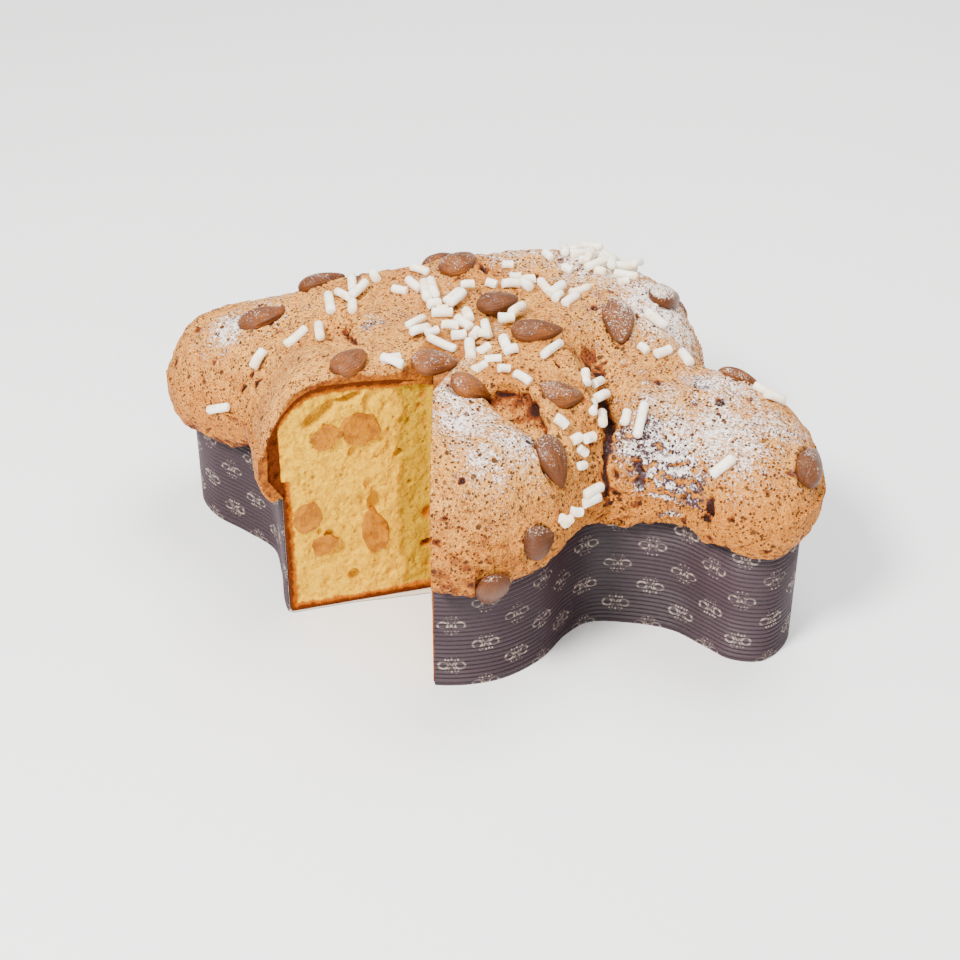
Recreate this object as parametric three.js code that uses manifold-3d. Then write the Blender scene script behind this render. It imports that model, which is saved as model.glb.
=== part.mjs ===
// Colomba: a dove-shaped sweet Easter bread in its paper baking case, with one slice taken out of a
// wing. Its glazed crust bulges over the case and carries whole almonds and rods of pearl sugar.
// Millimetres, +Z up. The origin is on the table under the middle of the case, +X runs to the tail
// and -Y to the wing that has been cut.

import * as THREE from "three";
import { mergeVertices } from "three/addons/utils/BufferGeometryUtils.js";
import Module from "manifold-3d";

const wasm = await Module();
wasm.setup();

// ---------------------------------------------------------------- driving dimensions

const CASE_HEIGHT = 60;
const PAPER = 0.8;
const GLAZE = 3;
const GAP = 0.3;
const ROD_RADIUS = 2.2;
const ROD_SIDES = 5;
const ROD_SINK = 0.9;
const ROD_SPACING = 1.8; // least distance between the axes of two rods
const GOLDEN_ANGLE = 2.39996;
const ALMOND = { width: 13, thickness: 8.4, lift: 0.9 };

// Plan of the case, from the tip of the head round by the cut wing and the tail.
const OUTLINE = [
  [-139.5, 0], [-136, -13], [-124, -24], [-104, -31], [-88, -38], [-78, -52], [-64, -75],
  [-38, -91], [-10, -98], [14, -96], [34, -85], [46, -68], [51.5, -48], [58, -37.5],
  [72, -32.5], [92, -30.5], [108, -36], [120, -40], [133, -36], [139, -20], [135, -2],
  [128, 14], [116, 26], [102, 30], [88, 31], [77, 37], [71, 50], [64, 68], [50, 83],
  [26, 92], [0, 91], [-24, 82], [-42, 68], [-54, 51], [-68, 40], [-86, 36], [-106, 31],
  [-124, 21], [-136, 9],
];

// Crust round the edge: [x, y, bulge past the case, height of the rim, height of the lip].
const EDGE = [
  [-140, -5, 11, 58, 43], [-105, -33, 9, 62, 51], [-75, -62, 8, 72, 61], [-40, -92, 9, 70, 58],
  [5, -98, 13, 62, 52], [48, -70, 11, 66, 59], [62, -36, 7, 66, 57], [90, -31, 8, 66, 56],
  [125, -39, 7, 71, 61], [138, 0, 7, 69, 60], [110, 32, 9, 68, 56], [60, 50, 9, 70, 56],
  [10, 84, 10, 70, 55], [-50, 58, 9, 70, 56], [-100, 33, 9, 66, 53],
];
const EDGE_REACH = 28;

// Places where the glaze has run down before it set: [x, y, drop, width].
const DRIPS = [
  [27, -97, 7, 9], [71, -38, 11, 5], [105, -40, 9, 6], [-132, -24, 4, 8],
  [62, 76, 6, 7], [-20, 88, 8, 8], [-92, 36, 6, 7],
];
const LIP_WAVES = [[2.2, 61, 0.4], [1.4, 37, 2.1]]; // amplitude, wavelength, phase

// Swellings of the loaf: [x, y, reach, height].
const LOBES = [
  [-12, 0, 40, 112], [-62, 4, 28, 112], [-108, -4, 35, 96], [95, -2, 40, 98],
  [-25, -55, 30, 117], [10, -60, 30, 106], [10, 52, 34, 108],
];
const SHOULDER = { width: 28, power: 0.6 };
const LUMPS = [[1.1, 13, 11, 1.3], [0.7, 7.5, 8.5, 4.2]]; // amplitude, x and y pace, phase

// Valleys (positive) and ridges (negative) in the top: [x0, y0, x1, y1, depth, width].
const FOLDS = [
  [42, 14, 56, -14, 6, 8], [56, -14, 62, -38, 7, 7], [12, -41, 26, -46, 6, 4],
  [26, -46, 42, -56, 6, 4], [15, -33, 34, -38, -3, 5], [34, -38, 50, -52, -3.5, 5],
  [-65, -16, -50, -38, 3.5, 5],
];

// The slice that has been taken: the two ends of its curved edge and its inner corner.
const CUT = { head: [-62.5, -75.5], corner: [-10.5, -38.5], tail: [10.5, -96.5] };
const BASE_STRIP = 4.5; // how far the paper base still reaches into the gap at the inner corner

// Whole almonds on the crust: [x, y, z, heading in degrees, length].
const ALMONDS = [
  [-86, 22, 102, 45, 22], [-101.5, -6.3, 97.5, 45, 22], [-41, -50.5, 114.6, 79, 19],
  [-11.5, -35.2, 113.7, 31, 19], [-44.5, 60.5, 98, 70, 22], [-31, 44.5, 105, 79, 22],
  [-3.5, 18, 113.5, 56, 20], [18.8, 3.9, 109.8, 41, 23], [45.3, 31, 105.1, -64, 24],
  [40.5, -31.8, 104.9, 46, 22], [7, -44.3, 111.1, 34, 18], [46.3, -60.8, 93.9, -33, 22],
  [48.8, -83.4, 71.3, 62, 14], [34.6, -94, 60.5, 130, 24], [135.5, -17.5, 84, 92, 23],
  [99, 27, 88, 20, 20], [57, 62, 96, 60, 22], [-110, 31, 74, 150, 23],
  [-66, 47, 90, 80, 21], [-20, 86, 74, 10, 23], [46, 86, 76, 150, 22], [20, 93, 84, 120, 22],
];
const FLAT_SEAT = 14; // almonds farther in than this lie on the crust's top, the others on its side

// Heaps of pearl sugar rods that can't be told apart: [x, y, long, short reach, turn, number].
const SUGAR_HEAPS = [[30, 74, 30, 9, -14, 16], [-34, 36, 14, 7, 10, 7]];
// Rods of pearl sugar: [x, y, heading in degrees, length].
const SUGAR_RODS = [
  [-108, -38.4, 20, 12], [-91.3, -30.4, 60, 9], [-77.5, -23.1, 62, 12], [-87.4, 3.4, 35, 9],
  [108.4, -33, 50, 11], [116.4, 15.4, 30, 10], [112, 19, 10, 11], [-29.1, -11, 74, 11],
  [-24.9, -16.8, 55, 9], [-20.3, -15.2, 56, 6], [-22.6, 2.6, 28, 9], [-14.5, -10.9, 26, 7],
  [-14.7, -12, 18, 5], [-10, -11.7, 37, 6], [-11.3, -2.1, 145, 10], [-11.5, 3.9, 123, 8],
  [-4.4, -7.4, 89, 6], [-0.9, -3.3, 119, 10], [4.6, -6.3, 25, 5], [8.6, -1.9, 116, 6],
  [9.5, -9.5, 122, 7], [-13.8, -21.4, 173, 13], [-3.1, -27.5, 111, 8], [-2.5, -18.9, 114, 12],
  [0.3, -9.1, 16, 5], [2.5, -15.7, 68, 6], [8.6, -21.3, 27, 7], [13.5, -13.6, 40, 6],
  [-2.8, -37.3, 73, 9], [0.4, -28.4, 71, 8], [5.8, -29.9, 68, 7], [11.1, -33, 11, 6],
  [15.3, -27.8, 44, 5], [24.6, -32.2, 153, 9], [-15, -41.7, 35, 6], [-42.7, 21.5, 145, 10],
  [-34.7, 13.8, 118, 15], [-37.6, 24, 58, 5], [-32.6, 17.2, 120, 14], [-46.3, 14, 179, 7],
  [-28.6, 8.6, 48, 6], [-24.2, 6.9, 27, 5], [-23.6, 18, 76, 11], [-19.1, 24.1, 25, 6],
  [-20, 13.3, 77, 11], [-10.7, 19.9, 123, 14], [-12.2, 33.4, 3, 5], [-5.3, 38.4, 39, 8],
  [-6.1, 47.2, 32, 5], [1.8, 37.7, 137, 7], [6.1, 14.4, 78, 10], [4.3, 6.7, 26, 7],
  [-12.4, 55.4, 25, 5], [0.2, 46.2, 37, 6], [9.8, 43.1, 130, 16], [16, 38.3, 79, 11],
  [17.3, 35.2, 84, 6], [24, 44.6, 53, 10], [23.1, 34.8, 76, 10], [2, 67.5, 138, 6],
  [13.1, 61.4, 172, 5], [17.9, 70.1, 11, 5], [27.1, 63.9, 177, 5], [39.1, 58.6, 37, 5],
  [48.5, 56, 151, 5], [58.2, 41.8, 175, 11], [49.1, 21, 163, 5], [53.4, 24.2, 157, 5],
  [59.1, 21.7, 152, 5], [67, 24.2, 53, 8], [76.4, 25.2, 122, 11], [28.2, -6.2, 78, 15],
  [-72.1, -0.4, 119, 16], [-67.7, -22, 117, 16], [-67.6, 5.1, 148, 13], [-61.6, 7.3, 81, 12],
  [-68.6, 15.4, 116, 12], [-60, -4, 113, 8], [-60.8, 21.9, 127, 6], [-27.4, -41.6, 41, 8],
  [-25.5, -45.8, 174, 10], [43.7, -11.3, 124, 8], [47.1, -5.3, 66, 8], [50, -9.1, 59, 8],
  [51.2, -24.4, 97, 10], [55.2, -24, 96, 13], [50.2, -44.1, 60, 5], [52.9, -39.8, 48, 5],
  [53.3, -44, 2, 5], [54.1, -48.8, 35, 6], [59.3, -47.3, 49, 11], [59.3, -49.8, 49, 10],
  [54.5, -69.3, 2, 5], [57.5, -62, 40, 5], [54.2, -70.1, 73, 5], [44.3, -45.6, 2, 6],
  [65.5, -21.7, 90, 7], [71.4, -22.1, 96, 16],
];
const ROD_OVERHANG = 2.5; // how far a rod may reach over the missing slice

// Candied orange at the cuts: [cut, distance along it, height, length, tallness, tilt in degrees].
const CANDIED = [
  ["head", 19, 87, 13, 10, 30], ["head", 33, 89, 16, 14, -10], ["head", 37.6, 36, 11, 20, 8],
  ["head", 9.8, 49, 11, 15, 0], ["head", 16, 33, 11, 9, 40], ["tail", 15, 78, 15, 11, 20],
  ["tail", 36, 52, 11, 15, -15], ["tail", 24, 26, 13, 10, 10],
];
const CANDIED_DEPTH = 9;
// Air tunnels at the cuts, measured in the same way.
const TUNNELS = [
  ["head", 17, 98.5, 16, 5, 38], ["head", 29, 103.5, 13, 4.5, 14], ["head", 38.5, 48, 8, 9, 5],
  ["tail", 30, 92, 14, 5, -20],
];
const TUNNEL_DEPTH = 5;

// Fineness: points of the fine surface, and which of them the solids keep.
const STEPS = 8; // between two points of the outline
const FINE_RINGS = 24; // from the rim to the spine
const FINEST = 0.02; // no edge of a solid is shorter than this
const EVERY_STEP = 4;
const EVERY_RING = 4;

// ---------------------------------------------------------------- small helpers

const radians = THREE.MathUtils.degToRad;

/** A repeatable number from 0 to 1 for piece number i. */
function scatter(i, channel) {
  const s = Math.sin(i * 12.9898 + channel * 78.233) * 43758.5453;
  return s - Math.floor(s);
}

/** Distance from (x, y) to the straight line between two points. */
function toSegment(x, y, x0, y0, x1, y1) {
  const dx = x1 - x0;
  const dy = y1 - y0;
  const t = ((x - x0) * dx + (y - y0) * dy) / (dx * dx + dy * dy);
  const s = Math.min(1, Math.max(0, t));
  return Math.hypot(x - x0 - s * dx, y - y0 - s * dy);
}

/** Each point of a closed ring moved half-way to the mean of its two neighbours, five times. */
function smoothed(ring) {
  let out = ring;
  for (let pass = 0; pass < 5; pass++) {
    const n = out.length;
    out = out.map((p, i) => {
      const ends = out[(i + n - 1) % n].clone().add(out[(i + 1) % n]);
      return p.clone().multiplyScalar(2).add(ends).divideScalar(4);
    });
  }
  return out;
}

// ---------------------------------------------------------------- form of the loaf

const route = new THREE.CatmullRomCurve3(
  OUTLINE.map(([x, y]) => new THREE.Vector3(x, y, 0)),
  true,
  "centripetal",
);
const COUNT = OUTLINE.length * STEPS;
const outline = Array.from({ length: COUNT }, (_, i) => route.getPoint(i / COUNT));
const outward = outline.map((_, i) => {
  const along = outline[(i + 1) % COUNT].clone().sub(outline[(i + COUNT - 1) % COUNT]);
  return new THREE.Vector3(along.y, -along.x, 0).normalize();
});

/** A column of EDGE at (x, y), blended from the places it names. */
function edgeValue(x, y, column) {
  let total = 0;
  let weight = 0;
  for (const place of EDGE) {
    const far = (x - place[0]) ** 2 + (y - place[1]) ** 2;
    const w = Math.exp(-far / (2 * EDGE_REACH ** 2)) + 1e-9;
    total += w * place[column];
    weight += w;
  }
  return total / weight;
}

/** Distance along the outline from its first point to each of its points. */
const travelled = outline.reduce((list, p, i) => {
  list.push(i ? list[i - 1] + p.distanceTo(outline[i - 1]) : 0);
  return list;
}, []);

const bulge = outline.map((p) => edgeValue(p.x, p.y, 2));
const rimHeight = outline.map((p) => edgeValue(p.x, p.y, 3));
const lipHeight = outline.map((p, i) => {
  let z = edgeValue(p.x, p.y, 4);
  for (const [size, length, phase] of LIP_WAVES)
    z += size * Math.sin((2 * Math.PI * travelled[i]) / length + phase);
  for (const [x, y, drop, width] of DRIPS)
    z -= drop * Math.exp(-((p.x - x) ** 2 + (p.y - y) ** 2) / width ** 2);
  return z;
});

/** The outline pushed out by a share of the bulge, then smoothed. */
function bulged(share) {
  return smoothed(
    outline.map((p, i) => p.clone().addScaledVector(outward[i], bulge[i] * share)),
  );
}
const rim = bulged(1);

/** How far (x, y) lies inside the rim: a smooth measure, with no ridges. */
function insideRim(x, y) {
  let sum = 0;
  for (let i = 0; i < COUNT; i++) {
    const a = rim[i];
    const b = rim[(i + 1) % COUNT];
    const length = a.distanceTo(b);
    const r = Math.max(Math.hypot(x - (a.x + b.x) / 2, y - (a.y + b.y) / 2), length / 2);
    sum += length / r ** 3;
  }
  return Math.sqrt(2 / sum);
}

/** Height that the loaf would have at (x, y) far from any edge. */
function swelling(x, y) {
  let total = 0;
  let weight = 0;
  for (const [lx, ly, reach, height] of LOBES) {
    const w = Math.exp(-((x - lx) ** 2 + (y - ly) ** 2) / reach ** 2) + 1e-6;
    total += w * height;
    weight += w;
  }
  return total / weight;
}

/** Height of the crust's top at (x, y). */
function crustTop(x, y) {
  const t = Math.min(1, insideRim(x, y) / SHOULDER.width);
  const rise = (1 - (1 - t) ** 2) ** SHOULDER.power;
  const low = edgeValue(x, y, 3);
  let z = low + (swelling(x, y) - low) * rise;
  for (const [size, pace, cross, phase] of LUMPS)
    z += t * size * Math.sin(x / pace + phase) * Math.cos(y / cross - phase);
  for (const [x0, y0, x1, y1, depth, width] of FOLDS)
    z -= t * depth * Math.exp(-((toSegment(x, y, x0, y0, x1, y1) / width) ** 2));
  return z;
}

/** The point of the loaf's cross-shaped spine that the crust over a point of the rim rises to. */
function spineUnder(p) {
  const spineY = 0.5 * p.y * THREE.MathUtils.smoothstep(Math.abs(p.y), 30, 90);
  const spineX = 0.7 * p.x * THREE.MathUtils.smoothstep(Math.abs(p.x), 20, 110);
  return new THREE.Vector3(spineX + 0.12 * spineY, spineY, 0);
}

/** Share of the way from the spine to the rim at ring k of the dome. */
const shareOf = (k) => Math.cos((Math.PI / 2) * (k / FINE_RINGS));

/** The crust's surface as fine rings: lip, middle of the overhang, rim, then up to the spine. */
function crustRings() {
  const rings = [bulged(0.45), bulged(0.9), rim.map((p) => p.clone())];
  rings[0].forEach((p, i) => (p.z = lipHeight[i]));
  rings[1].forEach((p, i) => (p.z = (lipHeight[i] + rimHeight[i]) / 2 - 1));
  rings[2].forEach((p, i) => (p.z = rimHeight[i]));
  for (let k = 1; k < FINE_RINGS; k++) {
    rings.push(
      rim.map((p) => {
        const q = spineUnder(p).lerp(p, shareOf(k));
        return q.setZ(crustTop(q.x, q.y));
      }),
    );
  }
  return rings;
}
const crust = crustRings();

/** Outward normals of the crust's surface, ring by ring, taken over the solids' own facets. */
const crustNormals = crust.map((ring, k) =>
  ring.map((_, i) => {
    const next = ring[(i + EVERY_STEP) % COUNT];
    const last = ring[(i + COUNT - EVERY_STEP) % COUNT];
    const below = crust[k < 3 ? Math.max(k - 1, 0) : Math.max(k - EVERY_RING, 2)][i];
    const above = crust[k < 2 ? k + 1 : Math.min(k + EVERY_RING, crust.length - 1)][i];
    return next.clone().sub(last).cross(above.clone().sub(below)).normalize();
  }),
);

/** The point of the crust's top at (x, y), with its normal. */
function seatOnTop(x, y) {
  const step = 1.5;
  const slopeX = (crustTop(x + step, y) - crustTop(x - step, y)) / (2 * step);
  const slopeY = (crustTop(x, y + step) - crustTop(x, y - step)) / (2 * step);
  return {
    point: new THREE.Vector3(x, y, crustTop(x, y)),
    normal: new THREE.Vector3(-slopeX, -slopeY, 1).normalize(),
  };
}

/** The nearest point of the crust's surface, with its normal. */
function seatNear(target) {
  let best = Infinity;
  const seat = { point: null, normal: null };
  crust.forEach((ring, k) =>
    ring.forEach((p, i) => {
      const far = p.distanceToSquared(target);
      if (far >= best) return;
      best = far;
      seat.point = p;
      seat.normal = crustNormals[k][i];
    }),
  );
  return seat;
}

// ---------------------------------------------------------------- solids

function toSolid(geometry) {
  const bare = geometry.clone();
  bare.deleteAttribute("normal");
  bare.deleteAttribute("uv");
  const merged = mergeVertices(bare, 1e-4);
  return new wasm.Manifold(
    new wasm.Mesh({
      numProp: 3,
      vertProperties: new Float32Array(merged.attributes.position.array),
      triVerts: new Uint32Array(merged.index.array),
    }),
  );
}

function toGeometry(solid) {
  const mesh = solid.getMesh();
  const geometry = new THREE.BufferGeometry();
  geometry.setAttribute("position", new THREE.BufferAttribute(mesh.vertProperties, 3));
  geometry.setIndex(new THREE.BufferAttribute(mesh.triVerts, 1));
  geometry.computeVertexNormals();
  return geometry;
}

/** The largest body of a cut solid, without the scraps and the hair-fine edges that cuts leave. */
function cleaned(solid) {
  const bodies = solid.simplify(FINEST).decompose();
  return bodies.reduce((a, b) => (a.volume() > b.volume() ? a : b));
}

/** Every n-th point of a ring. */
const thinned = (ring, n) => ring.filter((_, i) => i % n === 0);

/** Upright prism over a plan of points, from height low to height high. */
function prism(points, low, high) {
  const shape = new THREE.Shape(points.map((p) => new THREE.Vector2(p.x, p.y)));
  const geometry = new THREE.ExtrudeGeometry(shape, {
    depth: high - low,
    bevelEnabled: false,
    steps: 1,
  });
  return toSolid(geometry.translate(0, 0, low));
}

/** Faces that fill a ring seen from above, cutting off the corner with the shortest cut first. */
function lidFaces(ring) {
  const left = ring.map((_, i) => i);
  const faces = [];
  const turn = (a, b, c) => (b.x - a.x) * (c.y - a.y) - (b.y - a.y) * (c.x - a.x);
  const holds = (a, b, c, p) => turn(a, b, p) > 0 && turn(b, c, p) > 0 && turn(c, a, p) > 0;
  while (left.length > 2) {
    let best = Infinity;
    let corner = null;
    left.forEach((_, i) => {
      const face = [-1, 0, 1].map((step) => left[(i + step + left.length) % left.length]);
      const [a, b, c] = face.map((j) => ring[j]);
      const width = a.distanceTo(c);
      if (width >= best || turn(a, b, c) <= 0) return;
      if (left.some((j) => holds(a, b, c, ring[j]))) return;
      best = width;
      corner = { at: i, face };
    });
    faces.push(corner.face);
    left.splice(corner.at, 1);
  }
  return faces;
}

/** Solid under a stack of rings that all have as many points, closed at the floor and the top. */
function ringSolid(rings) {
  const n = rings[0].length;
  const top = (rings.length - 1) * n;
  const faces = [];
  for (let start = 0; start < top; start += n) {
    for (let i = 0; i < n; i++) {
      const next = (i + 1) % n;
      faces.push(start + i, start + next, start + n + next);
      faces.push(start + i, start + n + next, start + n + i);
    }
  }
  for (const [a, b, c] of lidFaces(rings[0])) faces.push(a, c, b);
  for (const [a, b, c] of lidFaces(rings.at(-1))) faces.push(top + a, top + b, top + c);
  const geometry = new THREE.BufferGeometry().setFromPoints(rings.flat());
  geometry.setIndex(faces);
  return toSolid(geometry);
}

/** Ring k of the crust, moved along its normals. */
function movedRing(k, distance) {
  const ring = crust[k].map((p, i) => p.clone().addScaledVector(crustNormals[k][i], distance));
  return thinned(ring, EVERY_STEP);
}

/** Ring k of the overhang as it lies under the glaze, grown by a distance. */
function innerSkirtRing(k, grown) {
  const least = CASE_HEIGHT + 2 * k - grown;
  const ring = crust[k].map((p, i) => {
    const q = p.clone().addScaledVector(outward[i], grown - GLAZE - GAP);
    return q.setZ(Math.max(q.z, least));
  });
  return thinned(ring, EVERY_STEP);
}

/** Ring k of the dome as it lies under the glaze, grown by a distance. */
function innerDomeRing(k, grown) {
  const inset = GLAZE + GAP;
  const fade = THREE.MathUtils.clamp((shareOf(k - 2) - 0.6) / 0.4, 0, 1);
  const ring = crust[k].map((p, i) => {
    const q = p.clone().addScaledVector(outward[i], -inset * fade);
    const { point, normal } = seatOnTop(q.x, q.y);
    point.z = Math.max(point.z - inset / Math.max(normal.z, 0.5), CASE_HEIGHT + 5);
    point.z += 1.3 * grown;
    return point.addScaledVector(outward[i], grown * fade);
  });
  return thinned(ring, EVERY_STEP);
}

/** Which rings of the dome the solids keep. */
const DOME = [];
for (let k = EVERY_RING; k < FINE_RINGS; k += EVERY_RING) DOME.push(k + 2);
DOME.push(FINE_RINGS + 1);

/** The case's outline, moved out by a distance, at height z. */
function outlineRing(distance, z) {
  const ring = outline.map((p, i) => p.clone().addScaledVector(outward[i], distance).setZ(z));
  return thinned(ring, EVERY_STEP);
}

/** Everything inside the crust's surface above the case, grown out by a distance. */
function crustSolid(grown) {
  const foot = outlineRing(GAP, CASE_HEIGHT + GAP);
  const rings = [0, 1, 2, ...DOME].map((k) => movedRing(k, grown));
  return ringSolid([foot, ...rings]);
}

/** The crumb, grown by a distance: its foot is in the case, its top is the crust less the glaze. */
function crumbSolid(grown, foot) {
  const wall = grown - PAPER - GAP;
  const neck = outlineRing(wall, CASE_HEIGHT + 2 * GAP - grown);
  const skirt = [1, 2].map((k) => innerSkirtRing(k, grown));
  const dome = DOME.map((k) => innerDomeRing(k, grown));
  return ringSolid([outlineRing(wall, foot), neck, ...skirt, ...dome]);
}

/** The space of the missing slice. The paper base keeps a narrow strip of it. */
function sliceSpace(keepStrip) {
  const head = new THREE.Vector2(...CUT.head);
  const corner = new THREE.Vector2(...CUT.corner);
  const tail = new THREE.Vector2(...CUT.tail);
  const beyondHead = head.clone().lerp(corner, -0.8);
  const beyondTail = tail.clone().lerp(corner, -0.8);
  const middle = head.clone().add(tail).divideScalar(2);
  const outside = corner.clone().lerp(middle, 3);
  const inner = [corner];
  if (keepStrip) {
    const half = head.clone().lerp(corner, 0.4);
    const tip = corner.clone().add(middle.clone().sub(corner).setLength(BASE_STRIP));
    inner.splice(0, 1, half, tip, corner.clone().lerp(tail, 0.5));
  }
  const plan = [beyondHead, outside, beyondTail, ...inner.reverse()];
  return prism(plan, -5, keepStrip ? PAPER + GAP : 200);
}
const slice = sliceSpace(false);

/** A frame at a distance along one of the cuts: x runs along it, y up, z into the bread. */
function cutFrame(side, distance, height) {
  const from = new THREE.Vector3(...(side === "head" ? CUT.head : CUT.corner), 0);
  const to = new THREE.Vector3(...(side === "head" ? CUT.corner : CUT.tail), 0);
  const along = to.clone().sub(from).normalize();
  const up = new THREE.Vector3(0, 0, 1);
  const into = along.clone().cross(up).negate();
  const place = from.addScaledVector(along, distance).setZ(height);
  return new THREE.Matrix4().makeBasis(along, up, into.negate()).setPosition(place);
}

/** A soft-cornered lump at a cut, in a frame of that cut, grown by a distance. */
function cutLump([side, distance, height, length, tallness, tilt], depth, grown) {
  const lump = new THREE.SphereGeometry(1, 8, 6).rotateX(Math.PI / 2);
  lump.scale(length / 2 + grown, tallness / 2 + grown, depth + grown);
  lump.rotateZ(radians(tilt));
  return toSolid(lump.applyMatrix4(cutFrame(side, distance, height)));
}

/** The case: a flat base and an upright wall of paper, both cut through with the slice. */
function paperCase() {
  const outer = prism(outlineRing(0, 0), 0, CASE_HEIGHT);
  const hollow = prism(outlineRing(-PAPER, 0), PAPER, CASE_HEIGHT + 5);
  const above = slice.subtract(prism(outlineRing(20, 0), -10, PAPER + GAP));
  return cleaned(outer.subtract(hollow).subtract(above).subtract(sliceSpace(true)));
}

/** The crumb, with its candied orange and its air tunnels cut out of the faces of the cut. */
function crumb() {
  const pockets = CANDIED.map((place) => cutLump(place, CANDIED_DEPTH, GAP));
  const tunnels = TUNNELS.map((place) => cutLump(place, TUNNEL_DEPTH, 0));
  const hollows = wasm.Manifold.union([slice, ...pockets, ...tunnels]);
  return cleaned(crumbSolid(0, PAPER + GAP).subtract(hollows));
}

/** An almond lying along +X with its tip at +X, its flat sides up and down. */
function almondGeometry(length) {
  const almond = new THREE.SphereGeometry(1, 9, 6).rotateZ(-Math.PI / 2);
  const points = almond.attributes.position;
  for (let i = 0; i < points.count; i++) {
    const x = points.getX(i);
    const taper = 1 - 0.3 * x;
    points.setX(i, ((x + 0.1 * x * x * x) * length) / 2.2);
    points.setY(i, (points.getY(i) * taper * ALMOND.width) / 2);
    points.setZ(i, (points.getZ(i) * taper * ALMOND.thickness) / 2);
  }
  return almond;
}

/** A frame on a seat of the crust: x along the heading, z out of the crust, raised by lift. */
function crustFrame({ point, normal }, heading, lift) {
  const along = new THREE.Vector3(Math.cos(radians(heading)), Math.sin(radians(heading)), 0);
  along.addScaledVector(normal, -along.dot(normal)).normalize();
  const across = normal.clone().cross(along);
  const frame = new THREE.Matrix4().makeBasis(along, across, normal);
  return frame.setPosition(point.clone().addScaledVector(normal, lift));
}

const almondFrames = ALMONDS.map(([x, y, z, heading]) => {
  const onTop = insideRim(x, y) > FLAT_SEAT;
  const seat = onTop ? seatOnTop(x, y) : seatNear(new THREE.Vector3(x, y, z));
  return crustFrame(seat, heading, ALMOND.lift);
});

/** Every rod of sugar that is strewn: its place, heading and length, the lone ones first. */
function strewnRods() {
  const rods = [...SUGAR_RODS];
  SUGAR_HEAPS.forEach(([x, y, long, short, turn, number], heap) => {
    for (let i = 0; i < number; i++) {
      const r = Math.sqrt((i + 0.5) / number);
      const angle = i * GOLDEN_ANGLE;
      const u = long * r * Math.cos(angle);
      const v = short * r * Math.sin(angle);
      const c = Math.cos(radians(turn));
      const s = Math.sin(radians(turn));
      const heading = 180 * scatter(i, heap + 1);
      rods.push([x + u * c - v * s, y + u * s + v * c, heading, 8 + 5 * scatter(i, heap + 11)]);
    }
  });
  return rods;
}

/** Points along the axis of a rod, from end to end. */
function axisPoints({ frame, length }, count) {
  return Array.from({ length: count }, (_, i) =>
    new THREE.Vector3((i / (count - 1) - 0.5) * length, 0, 0).applyMatrix4(frame),
  );
}

/** The least distance between the axes of two rods. */
function axisDistance(rod, other) {
  const [from, to] = axisPoints(other, 2);
  const axis = new THREE.Line3(from, to);
  const nearest = new THREE.Vector3();
  return Math.min(
    ...axisPoints(rod, 9).map((p) => axis.closestPointToPoint(p, true, nearest).distanceTo(p)),
  );
}

/** True if a rod would touch an almond or reach too far over the missing slice. */
function rodIsBlocked(rod) {
  return axisPoints({ ...rod, length: rod.length + 2 }, 5).some((point) => {
    if (overSlice(point, -ROD_OVERHANG)) return true;
    return almondFrames.some((frame, i) => {
      const local = point.clone().applyMatrix4(frame.clone().invert());
      const reach = ALMONDS[i][4] / 2 + ROD_RADIUS + 0.6;
      const half = ALMOND.width / 2 + ROD_RADIUS + 0.6;
      return Math.abs(local.z) < 12 && (local.x / reach) ** 2 + (local.y / half) ** 2 < 1;
    });
  });
}

/** The rods that find room, on the crust or across the ones that already lie there. */
function laidRods() {
  const laid = [];
  strewnRods().forEach(([x, y, heading, length], i) => {
    const sunk = ROD_SINK * (0.7 + 0.6 * scatter(i, 7));
    for (const raise of [0, ROD_RADIUS * 1.15]) {
      const lift = ROD_RADIUS - sunk + raise;
      const rod = { frame: crustFrame(seatOnTop(x, y), heading, lift), length };
      if (rodIsBlocked(rod)) return;
      if (laid.every((other) => axisDistance(rod, other) > ROD_SPACING)) {
        laid.push(rod);
        return;
      }
    }
  });
  return laid;
}

/** True if a point lies over the missing slice, or nearer to it than a margin. */
function overSlice(point, margin) {
  const side = (from, to) => {
    const dx = to[0] - from[0];
    const dy = to[1] - from[1];
    return ((point.y - from[1]) * dx - (point.x - from[0]) * dy) / Math.hypot(dx, dy);
  };
  return side(CUT.head, CUT.corner) < margin && side(CUT.corner, CUT.tail) < margin;
}

/** A faceted rod of sugar lying along +X, with its middle at the origin. */
function rodGeometry(length) {
  const corners = Array.from({ length: ROD_SIDES }, (_, i) => {
    const angle = (2 * Math.PI * i) / ROD_SIDES;
    return new THREE.Vector2(ROD_RADIUS * Math.cos(angle), ROD_RADIUS * Math.sin(angle));
  });
  const section = new THREE.Shape(corners);
  const rod = new THREE.ExtrudeGeometry(section, { depth: length, bevelEnabled: false });
  return rod.translate(0, 0, -length / 2).rotateY(Math.PI / 2);
}

/** The glaze: the skin between crust and crumb, with the sugar rods baked on. */
function glaze() {
  const solids = laidRods().map(({ frame, length }) =>
    toSolid(rodGeometry(length).applyMatrix4(frame)),
  );
  const sugared = wasm.Manifold.union([crustSolid(0), ...solids]);
  return cleaned(sugared.subtract(crumbSolid(GAP, CASE_HEIGHT / 2)).subtract(slice));
}

/** One almond, cut off where it meets the glaze. */
function almond(i, covered) {
  const geometry = almondGeometry(ALMONDS[i][4]).applyMatrix4(almondFrames[i]);
  return toSolid(geometry).subtract(covered);
}

// ---------------------------------------------------------------- the part

const FINISHES = {
  paper_case: { color: 0x5b464e, roughness: 0.55, metalness: 0 },
  cake: { color: 0xf0c45c, roughness: 0.9, metalness: 0 },
  glaze: { color: 0xd3a06a, roughness: 0.85, metalness: 0 },
  almond: { color: 0x9c5f42, roughness: 0.6, metalness: 0 },
  candied_orange: { color: 0xe0920f, roughness: 0.4, metalness: 0 },
};

const colomba = new THREE.Group();

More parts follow.
